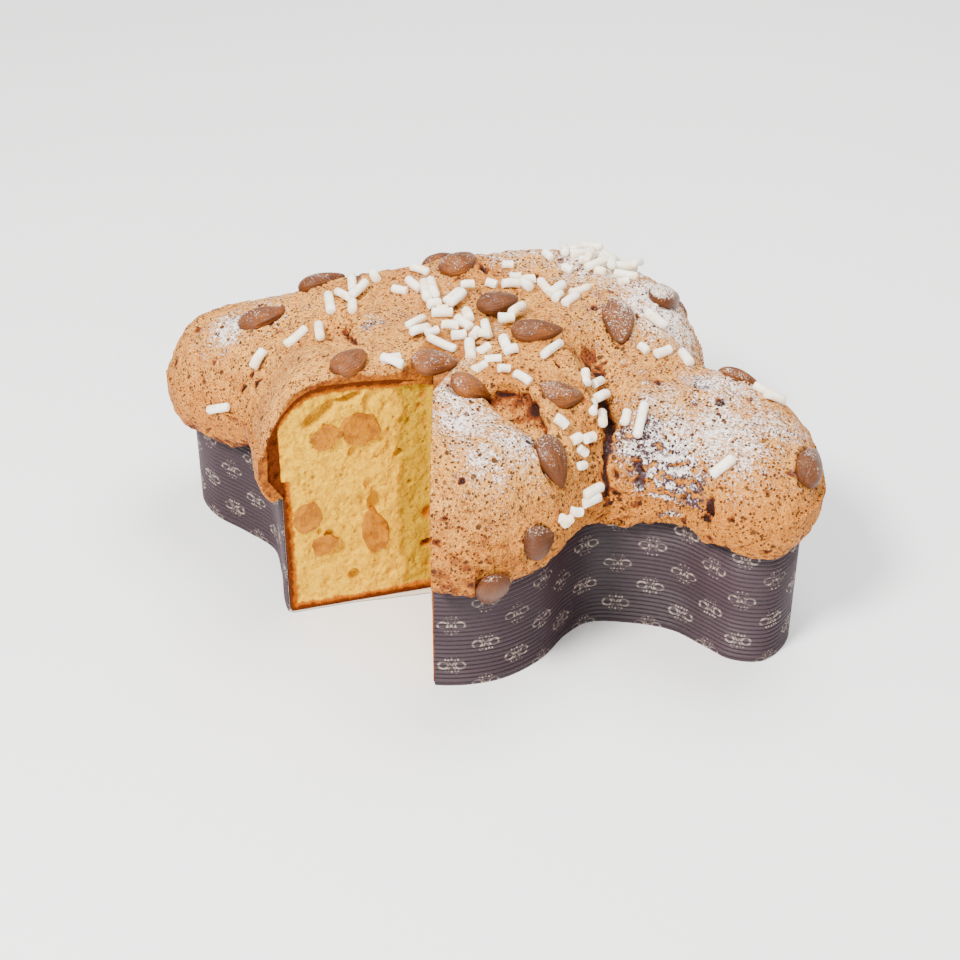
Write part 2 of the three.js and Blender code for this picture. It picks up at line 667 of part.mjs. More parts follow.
function addPiece(name, finish, solid) {
  const mesh = new THREE.Mesh(toGeometry(solid), new THREE.MeshStandardMaterial(FINISHES[finish]));
  mesh.name = name;
  colomba.add(mesh);
}

addPiece("paper_case", "paper_case", paperCase());
addPiece("cake", "cake", crumb());
addPiece("glaze", "glaze", glaze());
const numbered = (name, i) => `${name}_${String(i + 1).padStart(2, "0")}`;
const covered = crustSolid(GAP);
ALMONDS.forEach((_, i) => addPiece(numbered("almond", i), "almond", almond(i, covered)));
CANDIED.forEach((place, i) => {
  const piece = cutLump(place, CANDIED_DEPTH, 0).subtract(slice);
  addPiece(numbered("candied_orange", i), "candied_orange", piece);
});

export default colomba;
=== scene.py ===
"""A dove-shaped Easter loaf in its ribbed paper case, with one slice cut out of a wing.

Sizes are in millimetres in the form functions and become metres when a mesh is filled. The frame
is the loaf's own: origin on the table under the case, +X to the tail, -Y to the cut wing, +Z up.
"""

import math

import bpy
import numpy as np
from mathutils import Matrix, Vector, kdtree, noise


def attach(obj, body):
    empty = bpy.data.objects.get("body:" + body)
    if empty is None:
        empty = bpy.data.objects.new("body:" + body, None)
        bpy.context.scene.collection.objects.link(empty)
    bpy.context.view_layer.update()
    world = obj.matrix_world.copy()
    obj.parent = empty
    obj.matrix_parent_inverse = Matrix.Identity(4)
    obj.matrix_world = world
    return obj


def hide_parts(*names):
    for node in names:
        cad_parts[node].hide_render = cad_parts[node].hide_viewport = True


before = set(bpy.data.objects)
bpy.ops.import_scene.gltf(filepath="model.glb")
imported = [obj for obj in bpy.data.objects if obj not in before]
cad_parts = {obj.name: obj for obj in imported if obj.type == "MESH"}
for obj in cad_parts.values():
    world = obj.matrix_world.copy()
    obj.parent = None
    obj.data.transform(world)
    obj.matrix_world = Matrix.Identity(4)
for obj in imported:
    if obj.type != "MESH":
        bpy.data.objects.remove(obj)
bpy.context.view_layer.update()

MM = 0.001

# ---------------------------------------------------------------- camera

CAMERA_AT = Vector((0.2309, -0.6408, 0.5290))
LOOK_AT = Vector((-0.0205, 0.0425, 0.0))
LENS, SENSOR, NEAREST = 72.56, 36, 0.05


def aim_camera():
    """The camera at the photograph's viewing angle, 36 degrees above the table."""
    bpy.ops.object.camera_add(location=CAMERA_AT)
    camera = bpy.context.object
    camera.rotation_euler = (LOOK_AT - CAMERA_AT).to_track_quat("-Z", "Y").to_euler()
    camera.data.lens = LENS
    camera.data.sensor_width = SENSOR
    camera.data.clip_start = NEAREST
    bpy.context.scene.camera = camera


aim_camera()

# ---------------------------------------------------------------- driving dimensions

CASE_HEIGHT = 60
PAPER = 0.8
GLAZE = 3
GAP = 0.3
INSET = GLAZE + GAP  # how far the bread lies inside the crust
HIDDEN_SIDE = GLAZE + 1.2  # how far under the crust's top the glaze's hidden side lies at the cut
SUNK = 4.2  # how much deeper both lie away from the cut, out of the reach of splits
LEAST_RELIEF, DEEPEST_RELIEF, RELIEF_SHARE = 1.8, 4.6, 0.72
ROD_RADIUS = 2.2
ROD_SINK = 0.9
ROD_SPACING = 1.8
ROD_ROOM = 0.6  # between a rod and an almond
SLOPE_REACH = 1.5  # how far round a point the crust's slope is measured
GOLDEN_ANGLE = 2.39996
ALMOND_WIDTH, ALMOND_THICKNESS, ALMOND_LIFT = 13, 8.4, 0.9
ALMOND_REACH = 9  # how far above and below its middle an almond shapes the glaze

OUTLINE = [
    (-139.5, 0), (-136, -13), (-124, -24), (-104, -31), (-88, -38), (-78, -52), (-64, -75),
    (-38, -91), (-10, -98), (14, -96), (34, -85), (46, -68), (51.5, -48), (58, -37.5),
    (72, -32.5), (92, -30.5), (108, -36), (120, -40), (133, -36), (139, -20), (135, -2),
    (128, 14), (116, 26), (102, 30), (88, 31), (77, 37), (71, 50), (64, 68), (50, 83),
    (26, 92), (0, 91), (-24, 82), (-42, 68), (-54, 51), (-68, 40), (-86, 36), (-106, 31),
    (-124, 21), (-136, 9),
]
# Crust round the edge: x, y, bulge past the case, height of the rim, height of the lip.
EDGE = np.array([
    (-140, -5, 11, 58, 43), (-105, -33, 9, 62, 51), (-75, -62, 8, 72, 61), (-40, -92, 9, 70, 58),
    (5, -98, 13, 62, 52), (48, -70, 11, 66, 59), (62, -36, 7, 66, 57), (90, -31, 8, 66, 56),
    (125, -39, 7, 71, 61), (138, 0, 7, 69, 60), (110, 32, 9, 68, 56), (60, 50, 9, 70, 56),
    (10, 84, 10, 70, 55), (-50, 58, 9, 70, 56), (-100, 33, 9, 66, 53),
], float)
EDGE_REACH = 28
DRIPS = [
    (27, -97, 7, 9), (71, -38, 11, 5), (105, -40, 9, 6), (-132, -24, 4, 8),
    (62, 76, 6, 7), (-20, 88, 8, 8), (-92, 36, 6, 7),
]
LIP_WAVES = [(2.2, 61, 0.4), (1.4, 37, 2.1)]
LOBES = [
    (-12, 0, 40, 112), (-62, 4, 28, 112), (-108, -4, 35, 96), (95, -2, 40, 98),
    (-25, -55, 30, 117), (10, -60, 30, 106), (10, 52, 34, 108),
]
SHOULDER_WIDTH, SHOULDER_POWER = 28, 0.6
LUMPS = [(1.1, 13, 11, 1.3), (0.7, 7.5, 8.5, 4.2)]
FOLDS = [
    (42, 14, 56, -14, 6, 8), (56, -14, 62, -38, 7, 7), (12, -41, 26, -46, 6, 4),
    (26, -46, 42, -56, 6, 4), (15, -33, 34, -38, -3, 5), (34, -38, 50, -52, -3.5, 5),
    (-65, -16, -50, -38, 3.5, 5),
]
# The cuts of the missing slice run from the head's end to the corner and on to the tail's end.
CUT_HEAD, CUT_CORNER, CUT_TAIL = np.array([(-62.5, -75.5), (-10.5, -38.5), (10.5, -96.5)])
BASE_STRIP = 4.5

# Whole almonds on the crust: x, y, z, heading in degrees, length.
ALMONDS = [
    (-86, 22, 102, 45, 22), (-101.5, -6.3, 97.5, 45, 22), (-41, -50.5, 114.6, 79, 19),
    (-11.5, -35.2, 113.7, 31, 19), (-44.5, 60.5, 98, 70, 22), (-31, 44.5, 105, 79, 22),
    (-3.5, 18, 113.5, 56, 20), (18.8, 3.9, 109.8, 41, 23), (45.3, 31, 105.1, -64, 24),
    (40.5, -31.8, 104.9, 46, 22), (7, -44.3, 111.1, 34, 18), (46.3, -60.8, 93.9, -33, 22),
    (48.8, -83.4, 71.3, 62, 14), (34.6, -94, 60.5, 130, 24), (135.5, -17.5, 84, 92, 23),
    (99, 27, 88, 20, 20), (57, 62, 96, 60, 22), (-110, 31, 74, 150, 23), (-66, 47, 90, 80, 21),
    (-20, 86, 74, 10, 23), (46, 86, 76, 150, 22), (20, 93, 84, 120, 22),
]
FLAT_SEAT = 14  # almonds farther in than this lie on the crust's top, the others on its side
# Heaps of pearl sugar rods: x, y, long reach, short reach, turn in degrees, number.
SUGAR_HEAPS = [
    (30, 74, 30, 9, -14, 16), (-34, 36, 14, 7, 10, 7),
]
SUGAR_RODS = [
    (-108, -38.4, 20, 12), (-91.3, -30.4, 60, 9), (-77.5, -23.1, 62, 12), (-87.4, 3.4, 35, 9),
    (108.4, -33, 50, 11), (116.4, 15.4, 30, 10), (112, 19, 10, 11), (-29.1, -11, 74, 11),
    (-24.9, -16.8, 55, 9), (-20.3, -15.2, 56, 6), (-22.6, 2.6, 28, 9), (-14.5, -10.9, 26, 7),
    (-14.7, -12, 18, 5), (-10, -11.7, 37, 6), (-11.3, -2.1, 145, 10), (-11.5, 3.9, 123, 8),
    (-4.4, -7.4, 89, 6), (-0.9, -3.3, 119, 10), (4.6, -6.3, 25, 5), (8.6, -1.9, 116, 6),
    (9.5, -9.5, 122, 7), (-13.8, -21.4, 173, 13), (-3.1, -27.5, 111, 8), (-2.5, -18.9, 114, 12),
    (0.3, -9.1, 16, 5), (2.5, -15.7, 68, 6), (8.6, -21.3, 27, 7), (13.5, -13.6, 40, 6),
    (-2.8, -37.3, 73, 9), (0.4, -28.4, 71, 8), (5.8, -29.9, 68, 7), (11.1, -33, 11, 6),
    (15.3, -27.8, 44, 5), (24.6, -32.2, 153, 9), (-15, -41.7, 35, 6), (-42.7, 21.5, 145, 10),
    (-34.7, 13.8, 118, 15), (-37.6, 24, 58, 5), (-32.6, 17.2, 120, 14), (-46.3, 14, 179, 7),
    (-28.6, 8.6, 48, 6), (-24.2, 6.9, 27, 5), (-23.6, 18, 76, 11), (-19.1, 24.1, 25, 6),
    (-20, 13.3, 77, 11), (-10.7, 19.9, 123, 14), (-12.2, 33.4, 3, 5), (-5.3, 38.4, 39, 8),
    (-6.1, 47.2, 32, 5), (1.8, 37.7, 137, 7), (6.1, 14.4, 78, 10), (4.3, 6.7, 26, 7),
    (-12.4, 55.4, 25, 5), (0.2, 46.2, 37, 6), (9.8, 43.1, 130, 16), (16, 38.3, 79, 11),
    (17.3, 35.2, 84, 6), (24, 44.6, 53, 10), (23.1, 34.8, 76, 10), (2, 67.5, 138, 6),
    (13.1, 61.4, 172, 5), (17.9, 70.1, 11, 5), (27.1, 63.9, 177, 5), (39.1, 58.6, 37, 5),
    (48.5, 56, 151, 5), (58.2, 41.8, 175, 11), (49.1, 21, 163, 5), (53.4, 24.2, 157, 5),
    (59.1, 21.7, 152, 5), (67, 24.2, 53, 8), (76.4, 25.2, 122, 11), (28.2, -6.2, 78, 15),
    (-72.1, -0.4, 119, 16), (-67.7, -22, 117, 16), (-67.6, 5.1, 148, 13), (-61.6, 7.3, 81, 12),
    (-68.6, 15.4, 116, 12), (-60, -4, 113, 8), (-60.8, 21.9, 127, 6), (-27.4, -41.6, 41, 8),
    (-25.5, -45.8, 174, 10), (43.7, -11.3, 124, 8), (47.1, -5.3, 66, 8), (50, -9.1, 59, 8),
    (51.2, -24.4, 97, 10), (55.2, -24, 96, 13), (50.2, -44.1, 60, 5), (52.9, -39.8, 48, 5),
    (53.3, -44, 2, 5), (54.1, -48.8, 35, 6), (59.3, -47.3, 49, 11), (59.3, -49.8, 49, 10),
    (54.5, -69.3, 2, 5), (57.5, -62, 40, 5), (54.2, -70.1, 73, 5), (44.3, -45.6, 2, 6),
    (65.5, -21.7, 90, 7), (71.4, -22.1, 96, 16),
]
ROD_OVERHANG = 2.5  # how far a rod may reach over the missing slice
# Candied orange at the cuts: cut, distance along it, height, length, tallness, tilt in degrees.
CANDIED = [
    ("head", 19, 87, 13, 10, 30), ("head", 33, 89, 16, 14, -10), ("head", 37.6, 36, 11, 20, 8),
    ("head", 9.8, 49, 11, 15, 0), ("head", 16, 33, 11, 9, 40), ("tail", 15, 78, 15, 11, 20),
    ("tail", 36, 52, 11, 15, -15), ("tail", 24, 26, 13, 10, 10),
]
# Air tunnels at the cuts: cut, distance, height, length, tallness, tilt, depth.
TUNNELS = [
    ("head", 17, 97.5, 19, 8, 38, 6), ("head", 29, 103.5, 13, 4.5, 14, 6),
    ("head", 38.5, 50, 8, 12, 5, 5), ("head", 28.5, 14, 6, 8, 20, 4),
    ("head", 49, 73, 5, 4, 0, 3), ("head", 61, 24, 9, 5, 10, 3), ("tail", 30, 92, 14, 5, -20, 6),
    ("tail", 45, 30, 6, 9, 10, 4), ("tail", 10, 45, 7, 6, 30, 4),
]

# Splits in the glaze: depth, width, darkness, then the points they run through.
SPLITS = [
    (4.2, 2.3, 1.0, [(36, 21), (38, 14), (45, 8), (50, -3)]),
    (3.8, 2.0, 1.0, [(50, -3), (54, -12), (59, -20), (60, -29), (62, -38), (66, -43)]),
    (3.4, 1.6, 0.85, [(12, -41.5), (17.3, -39.7), (22.4, -38.8), (27.6, -39.3), (34.7, -45.4),
                      (40.6, -50.5)]),
    # This broad, shallow one is a band of painted shade along the front wing's crevice, under the
    # curl
    (0.4, 3.4, 0.5, [(14, -42), (22, -40.5), (30, -43), (38, -50)]),
    (1.8, 1.0, 0.9, [(20, 24), (25, 18), (33, 21), (38, 14)]),
    (1.6, 1.0, 0.8, [(26, 4), (33, 6), (40, 5.5), (44, -4)]),
    (2.2, 1.4, 0.9, [(-60, -14), (-55, -22), (-47, -32)]),
    (1.3, 0.7, 0.7, [(-110, -16), (-98, -9), (-90, -14), (-80, -22), (-73, -29)]),
    (1.0, 0.8, 0.6, [(-30, 32), (-22, 38), (-8, 40), (4, 36)]),
    (1.3, 0.9, 0.7, [(60, 40), (52, 46), (44, 44), (38, 50)]),
    (1.2, 0.8, 0.6, [(84, 24), (96, 20), (100, 10), (112, 6)]),
    (1.1, 0.8, 0.5, [(-96, 22), (-84, 14), (-74, 12)]),
    (1.0, 0.8, 0.5, [(-10, 62), (4, 70), (14, 66), (20, 76)]),
]
# Places where the glaze has broken up: x, y, reach, amount.
ROUGH = [
    (22, 22, 10, 1), (34, 8, 10, 1), (34, 34, 9, 0.8), (-18, 50, 12, 0.7), (57, -18, 15, 1),
    (62, -32, 15, 1), (68, -40, 12, 1), (92, -42, 16, 0.8), (46, 8, 17, 1), (44, -48, 6, 0.5),
    (-62, -14, 13, 0.8), (48, 44, 18, 0.7), (6, 66, 22, 0.6), (110, -34, 12, 0.6),
    (96, 12, 20, 0.5), (-80, 20, 22, 0.5), (84, -24, 26, 0.7), (116, -10, 22, 0.4),
    (-30, 56, 20, 0.6), (-20, 26, 16, 0.4),
]
# Raised curls of glaze: height, width, points.
CURLS = [
    (2.0, 2.3, [(4, -38.5), (11.7, -37), (18.8, -35.2), (25.6, -35.6), (36.2, -42.6), (44, -47),
                (53, -52)]),
    (1.4, 2.6, [(24, 11), (34, -2), (42, -12), (50, -26)]),
]
# Open holes in the glaze: x, y, radius, depth.
HOLES = [
    (19, 26, 2.8, 3.4), (24, 20.5, 3.0, 3.6), (33, 9.5, 2.6, 3.2), (38, 5, 2.2, 3.0),
    (40, 12, 2.2, 2.8), (33.5, -12.5, 1.7, 2.4), (-21, 48.5, 2.4, 2.6), (0.5, 54, 2.4, 2.6),
    (33, 35.5, 2.2, 2.6), (-57.9, -18, 2.6, 2.8),
    (-95, -34, 1.7, 1.8), (-98.8, -37, 1.3, 1.5), (-90, -38, 1.5, 1.6), (105.4, -43, 3.0, 2.6),
    (98, -1.3, 1.9, 2.2), (75.8, -36, 2.4, 2.4), (-44, -16, 1.8, 1.8), (47.5, -74, 1.2, 1.4),
    (20, -90, 1.4, 1.5), (-18, 44, 1.8, 2), (70, 6, 1.6, 1.6),
    (52, 62, 1.7, 1.8), (-110, 8, 1.6, 1.6), (126, 4, 1.5, 1.6),
]
# Parts of the top that have browned to gold: x, y, reach, amount.
GOLDEN = [
    (-46, 25, 14, 0.7), (20, -31, 16, 0.8), (44, -28, 14, 0.8), (-8, -22, 14, 0.6),
    (22, 0, 16, 0.6), (-18, 46, 16, 0.8), (58, -34, 9, 0.8), (10, 28, 14, 0.5), (-70, -20, 14, 0.5),
]
# Icing sugar on the glaze: x, y, reach, amount.
DUSTINGS = [
    (-114, -12, 17, 0.95), (-102, -4, 20, 0.6), (-86, -2, 24, 0.35), (12, -62, 22, 0.9),
    (26, -78, 18, 0.75), (33, -66, 18, 0.82), (2, -52, 14, 0.8), (86, -30, 24, 1.0),
    (78, -10, 26, 0.72), (102, -18, 30, 0.9), (114, -26, 22, 0.8), (98, 10, 30, 0.82),
    (124, -4, 26, 0.75), (130, -24, 18, 0.5), (58, 54, 34, 1.0), (24, 76, 36, 0.95),
    (-12, 70, 36, 0.65), (-46, -14, 12, 0.6), (-40, 26, 34, 0.4), (-108, 18, 28, 0.55),
    (38, 34, 24, 0.5), (70, -30, 13, 0.85), (56, 10, 18, 0.4), (-20, -4, 30, 0.22),
]
# Dusk-coloured hollows where fruit and nuts lie just under the dusted glaze; the large ones by the
# tail are painted shade in the valley behind the front wing: x, y, reach, amount.
DUSKY_AND_SHADE = [
    (-114, -7.6, 6, 0.8), (-46.7, -15.2, 5, 0.7), (76, -28, 12, 1.0), (88, -33, 12, 1.0),
    (98, -40, 9, 1.0), (66, -30, 8, 0.7), (88, 7.3, 8, 0.7), (37, -60, 3.5, 0.9), (34, 41, 5, 0.6),
    (12, 80, 7, 0.5), (-70, 24, 6, 0.5),
]

# Painted shade on the paper, in the valley by the tail and under the head's overhang: x, y, reach,
# amount.
PAPER_SHADE_SPOTS = [(64, -38, 26, 0.7), (90, -31, 24, 0.5), (-104, -32, 26, 0.5)]

OUTLINE_STEPS = 8  # the fineness that the solids are worked out at
FINER = 3  # columns of the glaze to each of those
UNDER_ROWS, LIP_ROWS, DOME_ROWS = 6, 22, 62  # rows of the glaze's outer side
HIDDEN_ROWS, BREAD_ROWS, SOLID_ROWS = 8, 16, 24  # rows of domes that are less fine
BATCH = 8000  # points worked out at a time

# ---------------------------------------------------------------- small helpers


def deselect():
    bpy.ops.object.select_all(action="DESELECT")


def only(piece):
    """Makes a piece the one selected and active object."""
    deselect()
    piece.select_set(True)
    bpy.context.view_layer.objects.active = piece


def named(piece, name):
    piece.name = piece.data.name = name
    return piece


def joined(pieces, name):
    """Joins pieces into the first of them, under a name."""
    only(pieces[0])
    for piece in pieces:
        piece.select_set(True)
    bpy.ops.object.join()
    return named(pieces[0], name)


def work(piece, *steps):
    """Edits the whole of a piece in turn by some operators: pairs of one and its options."""
    only(piece)
    bpy.ops.object.mode_set(mode="EDIT")
    for operator, options in steps:
        bpy.ops.mesh.select_all(action="SELECT")
        operator(**options)
    bpy.ops.object.mode_set(mode="OBJECT")


def vectors_of(piece, what="co"):
    """A vector for each point of a mesh: its place, or its normal."""
    flat = np.empty(len(piece.data.vertices) * 3)
    piece.data.vertices.foreach_get(what, flat)
    return flat.reshape(-1, 3)


def points_of(piece):
    """A mesh's points in millimetres."""
    return vectors_of(piece) / MM


def put_points(piece, points):
    piece.data.vertices.foreach_set("co", (np.asarray(points) * MM).ravel())
    piece.data.update()


def write_layer(piece, name, values):
    """A number at each point of a mesh, which its material reads by name."""
    layer = piece.data.attributes.get(name) or piece.data.attributes.new(name, "FLOAT", "POINT")
    layer.data.foreach_set("value", np.asarray(values, np.float32))


def smooth(piece, degrees):
    only(piece)
    bpy.ops.object.shade_smooth_by_angle(angle=math.radians(degrees))


def finished(piece, paint, slot, *nodes):
    """Gives a piece its material, puts it under the root body and hides the CAD nodes that it
    stands for; the slot is not used.
    """
    piece.data.materials.clear()
    piece.data.materials.append(paint)
    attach(piece, "root")
    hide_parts(*nodes)


def step(x, low, high):
    """Smooth step of an array from 0 at low to 1 at high."""
    t = np.clip((x - low) / (high - low), 0, 1)
    return t * t * (3 - 2 * t)


def hump(x):
    """A smooth hump of an array: 1 at 0, and next to nothing beyond 2 on both sides."""
    return np.exp(-(x**2))


def scatter(i, channel):
    """A repeatable number from 0 to 1 for piece number i."""
    s = math.sin(i * 12.9898 + channel * 78.233) * 43758.5453
    return s - math.floor(s)


def to_line(points, line):
    """Least distance in plan from points to a line of straight stretches."""
    best = np.full(points.shape[:-1], np.inf)
    for (x0, y0), (x1, y1) in zip(line, line[1:]):
        run = np.array([x1 - x0, y1 - y0])
        rel = points[..., :2] - (x0, y0)
        t = np.clip(rel @ run / (run @ run), 0, 1)
        best = np.minimum(best, np.linalg.norm(rel - t[..., None] * run, axis=-1))
    return best


def grain(points, size, seed, octaves=2):
    """Soft noise of about -1 to 1 at points in millimetres, for features of a given size."""
    shift = Vector((seed * 17.3, seed * 5.9, seed * 11.1))
    flat = points.reshape(-1, 3) / size
    found = [noise.fractal(Vector(p) + shift, 0.8, 2.1, octaves) for p in flat]
    return np.array(found).reshape(points.shape[:-1])


def pocks(points, size, share, seed):
    """Depth from 0 to 1 of round pits, one to a cell of a given size, in a share of the cells."""
    shift = Vector((seed * 3.7, seed * 8.1, seed * 2.3))
    out = []
    for p in points.reshape(-1, 3) / size:
        far, near = noise.voronoi(Vector(p) + shift)
        luck = abs(noise.cell(near[0] * 7.31))
        radius = 0.16 + 0.3 * luck
        out.append(0 if (luck * 91.7) % 1 > share else max(0, 1 - far[0] / radius))
    return step(np.array(out), 0, 0.8).reshape(points.shape[:-1])


SPOT_SPREAD = 0.62  # the standard deviation of a spot, as a share of its reach


def blots(points, spots):
    """The largest of some soft round spots at each point: x, y, reach, amount."""
    best = np.zeros(points.shape[:-1])
    for x, y, reach, amount in spots:
        far = (points[..., 0] - x) ** 2 + (points[..., 1] - y) ** 2
        best = np.maximum(best, amount * np.exp(-far / (2 * (SPOT_SPREAD * reach) ** 2)))
    return best


# ---------------------------------------------------------------- form of the loaf


def closed_curve(corners, steps):
    """A closed centripetal Catmull-Rom curve through the corners."""
    p1 = np.array(corners, float)
    p0, p2, p3 = np.roll(p1, 1, 0), np.roll(p1, -1, 0), np.roll(p1, -2, 0)
    pairs = ((p0, p1), (p1, p2), (p2, p3))
    span = [np.linalg.norm(b - a, axis=1)[:, None] ** 0.5 for a, b in pairs]
    m1 = ((p1 - p0) / span[0] - (p2 - p0) / (span[0] + span[1]) + (p2 - p1) / span[1]) * span[1]
    m2 = ((p2 - p1) / span[1] - (p3 - p1) / (span[1] + span[2]) + (p3 - p2) / span[2]) * span[1]
    t = (np.arange(steps) / steps)[None, :, None]
    a, b, c, d = p1[:, None], m1[:, None], m2[:, None], p2[:, None]
    curve = a + b * t + (3 * d - 3 * a - 2 * b - c) * t**2 + (2 * a - 2 * d + b + c) * t**3
    return curve.reshape(-1, 2)


def finer(values, times):
    """A closed row of values with smooth steps put between them."""
    p1 = np.asarray(values, float)
    p0, p2, p3 = np.roll(p1, 1, 0), np.roll(p1, -1, 0), np.roll(p1, -2, 0)
    rows = []
    for t in np.arange(times) / times:
        rows.append(0.5 * (2 * p1 + (p2 - p0) * t + (2 * p0 - 5 * p1 + 4 * p2 - p3) * t**2
                           + (3 * p1 - p0 - 3 * p2 + p3) * t**3))
    return np.stack(rows, axis=1).reshape(-1, *p1.shape[1:])


def eased(ring, passes=5):
    """Each point of a closed ring moved half-way to the mean of its neighbours, a few times."""
    for _ in range(passes):
        ring = (2 * ring + np.roll(ring, 1, 0) + np.roll(ring, -1, 0)) / 4
    return ring


def edge_value(points, column):
    """A column of EDGE at points, blended from the places it names."""
    far = ((points[..., None, :2] - EDGE[:, :2]) ** 2).sum(-1)
    weight = np.exp(-far / (2 * EDGE_REACH**2)) + 1e-9
    return (weight * EDGE[:, column]).sum(-1) / weight.sum(-1)


outline = closed_curve(OUTLINE, OUTLINE_STEPS)
along = np.roll(outline, -1, 0) - np.roll(outline, 1, 0)
outward = np.stack([along[:, 1], -along[:, 0]], 1)
outward /= np.linalg.norm(outward, axis=1)[:, None]
travelled = np.r_[0, np.cumsum(np.linalg.norm(np.diff(outline, axis=0), axis=1))]
bulge = edge_value(outline, 2)
rim_height = edge_value(outline, 3)
lip_height = edge_value(outline, 4)
for size, length, phase in LIP_WAVES:
    lip_height += size * np.sin(2 * math.pi * travelled / length + phase)
for x, y, drop, width in DRIPS:
    lip_height -= drop * np.exp(-((outline[:, 0] - x) ** 2 + (outline[:, 1] - y) ** 2) / width**2)
rim = eased(outline + outward * bulge[:, None])
lip = eased(outline + outward * bulge[:, None] * 0.45)
rim_middle = (rim + np.roll(rim, -1, 0)) / 2
rim_length = np.linalg.norm(np.roll(rim, -1, 0) - rim, axis=1)
fine_outline, fine_outward = finer(outline, FINER), finer(outward, FINER)
fine_rim, fine_rim_height = finer(rim, FINER), finer(rim_height, FINER)


def inside_rim(points):
    """How far points lie inside the rim: a smooth measure, with no ridges."""
    flat = points[..., :2].reshape(-1, 2)
    out = np.empty(len(flat))
    for start in range(0, len(flat), BATCH):
        part = flat[start : start + BATCH]
        far = np.linalg.norm(part[:, None] - rim_middle[None], axis=2)
        out[start : start + BATCH] = (rim_length / np.maximum(far, rim_length / 2) ** 3).sum(1)
    return np.sqrt(2 / out).reshape(points.shape[:-1])


def crust_top(points):
    """Height of the crust's top at points of the plan."""
    x, y = points[..., 0], points[..., 1]
    total, weight = 0, 0
    for lx, ly, reach, height in LOBES:
        w = np.exp(-((x - lx) ** 2 + (y - ly) ** 2) / reach**2) + 1e-6
        total, weight = total + w * height, weight + w
    t = np.minimum(1, inside_rim(points) / SHOULDER_WIDTH)
    low = edge_value(points, 3)
    z = low + (total / weight - low) * (1 - (1 - t) ** 2) ** SHOULDER_POWER
    for size, pace, cross, phase in LUMPS:
        z = z + t * size * np.sin(x / pace + phase) * np.cos(y / cross - phase)
    for x0, y0, x1, y1, depth, width in FOLDS:
        z = z - t * depth * np.exp(-((to_line(points, [(x0, y0), (x1, y1)]) / width) ** 2))
    return z


def spine_under(p):
    """The point of the loaf's cross-shaped spine that the crust over points of the rim rises to."""
    spine_y = 0.5 * p[:, 1] * step(np.abs(p[:, 1]), 30, 90)
    spine_x = 0.7 * p[:, 0] * step(np.abs(p[:, 0]), 20, 110)
    return np.stack([spine_x + 0.12 * spine_y, spine_y], 1)


def on_crust(plan):
    """Points of the plan with the crust's height."""
    return np.concatenate([plan, crust_top(plan)[..., None]], axis=-1)


def row_normals(rows):
    """Normals of a closed stack of rows of points, pointing out of the loaf."""
    across = np.roll(rows, -1, 1) - np.roll(rows, 1, 1)
    up = np.gradient(rows, axis=0)
    normals = np.cross(across, up)
    return normals / np.maximum(np.linalg.norm(normals, axis=-1, keepdims=True), 1e-9)


# ---------------------------------------------------------------- seats of the toppings


def coarse_crust():
    """The crust as the solids have it: its rows of points and their normals."""
    mid = eased(outline + outward * bulge[:, None] * 0.9)
    rows = [
        np.c_[lip, lip_height],
        np.c_[mid, (lip_height + rim_height) / 2 - 1],
        np.c_[rim, rim_height],
    ]
    spine = spine_under(rim)
    for k in range(1, SOLID_ROWS):
        share = math.cos(math.pi / 2 * k / SOLID_ROWS)
        rows.append(on_crust(spine + (rim - spine) * share))
    rows = np.stack(rows)
    last, lip_rows, reach = len(rows) - 1, 2, 4
    normals = []
    for k in range(len(rows)):
        below = rows[max(k - 1, 0) if k <= lip_rows else max(k - reach, lip_rows)]
        above = rows[k + 1 if k < lip_rows else min(k + reach, last)]
        across = np.roll(rows[k], -reach, 0) - np.roll(rows[k], reach, 0)
        n = np.cross(across, above - below)
        normals.append(n / np.linalg.norm(n, axis=1)[:, None])
    return rows.reshape(-1, 3), np.stack(normals).reshape(-1, 3)


seat_points, seat_normals = coarse_crust()


def seat_near(target):
    """The nearest point of the crust and its normal."""
    best = ((seat_points - target) ** 2).sum(1).argmin()
    return seat_points[best], seat_normals[best]


def seat_on_top(x, y):
    """The point of the crust's top at (x, y) and its normal."""
    s = SLOPE_REACH
    z = crust_top(np.array([(x, y), (x + s, y), (x - s, y), (x, y + s), (x, y - s)], float))
    normal = np.array([-(z[1] - z[2]) / (2 * s), -(z[3] - z[4]) / (2 * s), 1])
    return np.array([x, y, z[0]]), normal / np.linalg.norm(normal)


def crust_frame(seat, heading, lift):
    """A frame on a seat: x along the heading, z out of the crust, raised by lift."""
    point, normal = Vector(seat[0]), Vector(seat[1])
    turn = math.radians(heading)
    run = Vector((math.cos(turn), math.sin(turn), 0))
    run = (run - normal * run.dot(normal)).normalized()
    rotation = Matrix((run, normal.cross(run), normal)).transposed().to_4x4()
    return Matrix.Translation(point + normal * lift) @ rotation


def placed(points, at):
    """Points of a frame as points of the loaf."""
    at = np.array(at)
    return points @ at[:3, :3].T + at[:3, 3]


def almond_seat(x, y, z):
    if inside_rim(np.array([(x, y)], float))[0] > FLAT_SEAT:
        return seat_on_top(x, y)
    return seat_near(np.array([x, y, z], float))


almond_frames = [crust_frame(almond_seat(*a[:3]), a[3], ALMOND_LIFT) for a in ALMONDS]


def over_slice(x, y, margin=0):
    """True over the missing slice, or nearer to it than a margin."""

    def side(start, end):
        dx, dy = end[0] - start[0], end[1] - start[1]
        return ((y - start[1]) * dx - (x - start[0]) * dy) / math.hypot(dx, dy)

    return side(CUT_HEAD, CUT_CORNER) < margin and side(CUT_CORNER, CUT_TAIL) < margin


# ---------------------------------------------------------------- lattices

WELD = (bpy.ops.mesh.remove_doubles, {"threshold": 1e-7})
FILL = (bpy.ops.mesh.fill_holes, {"sides": 0})


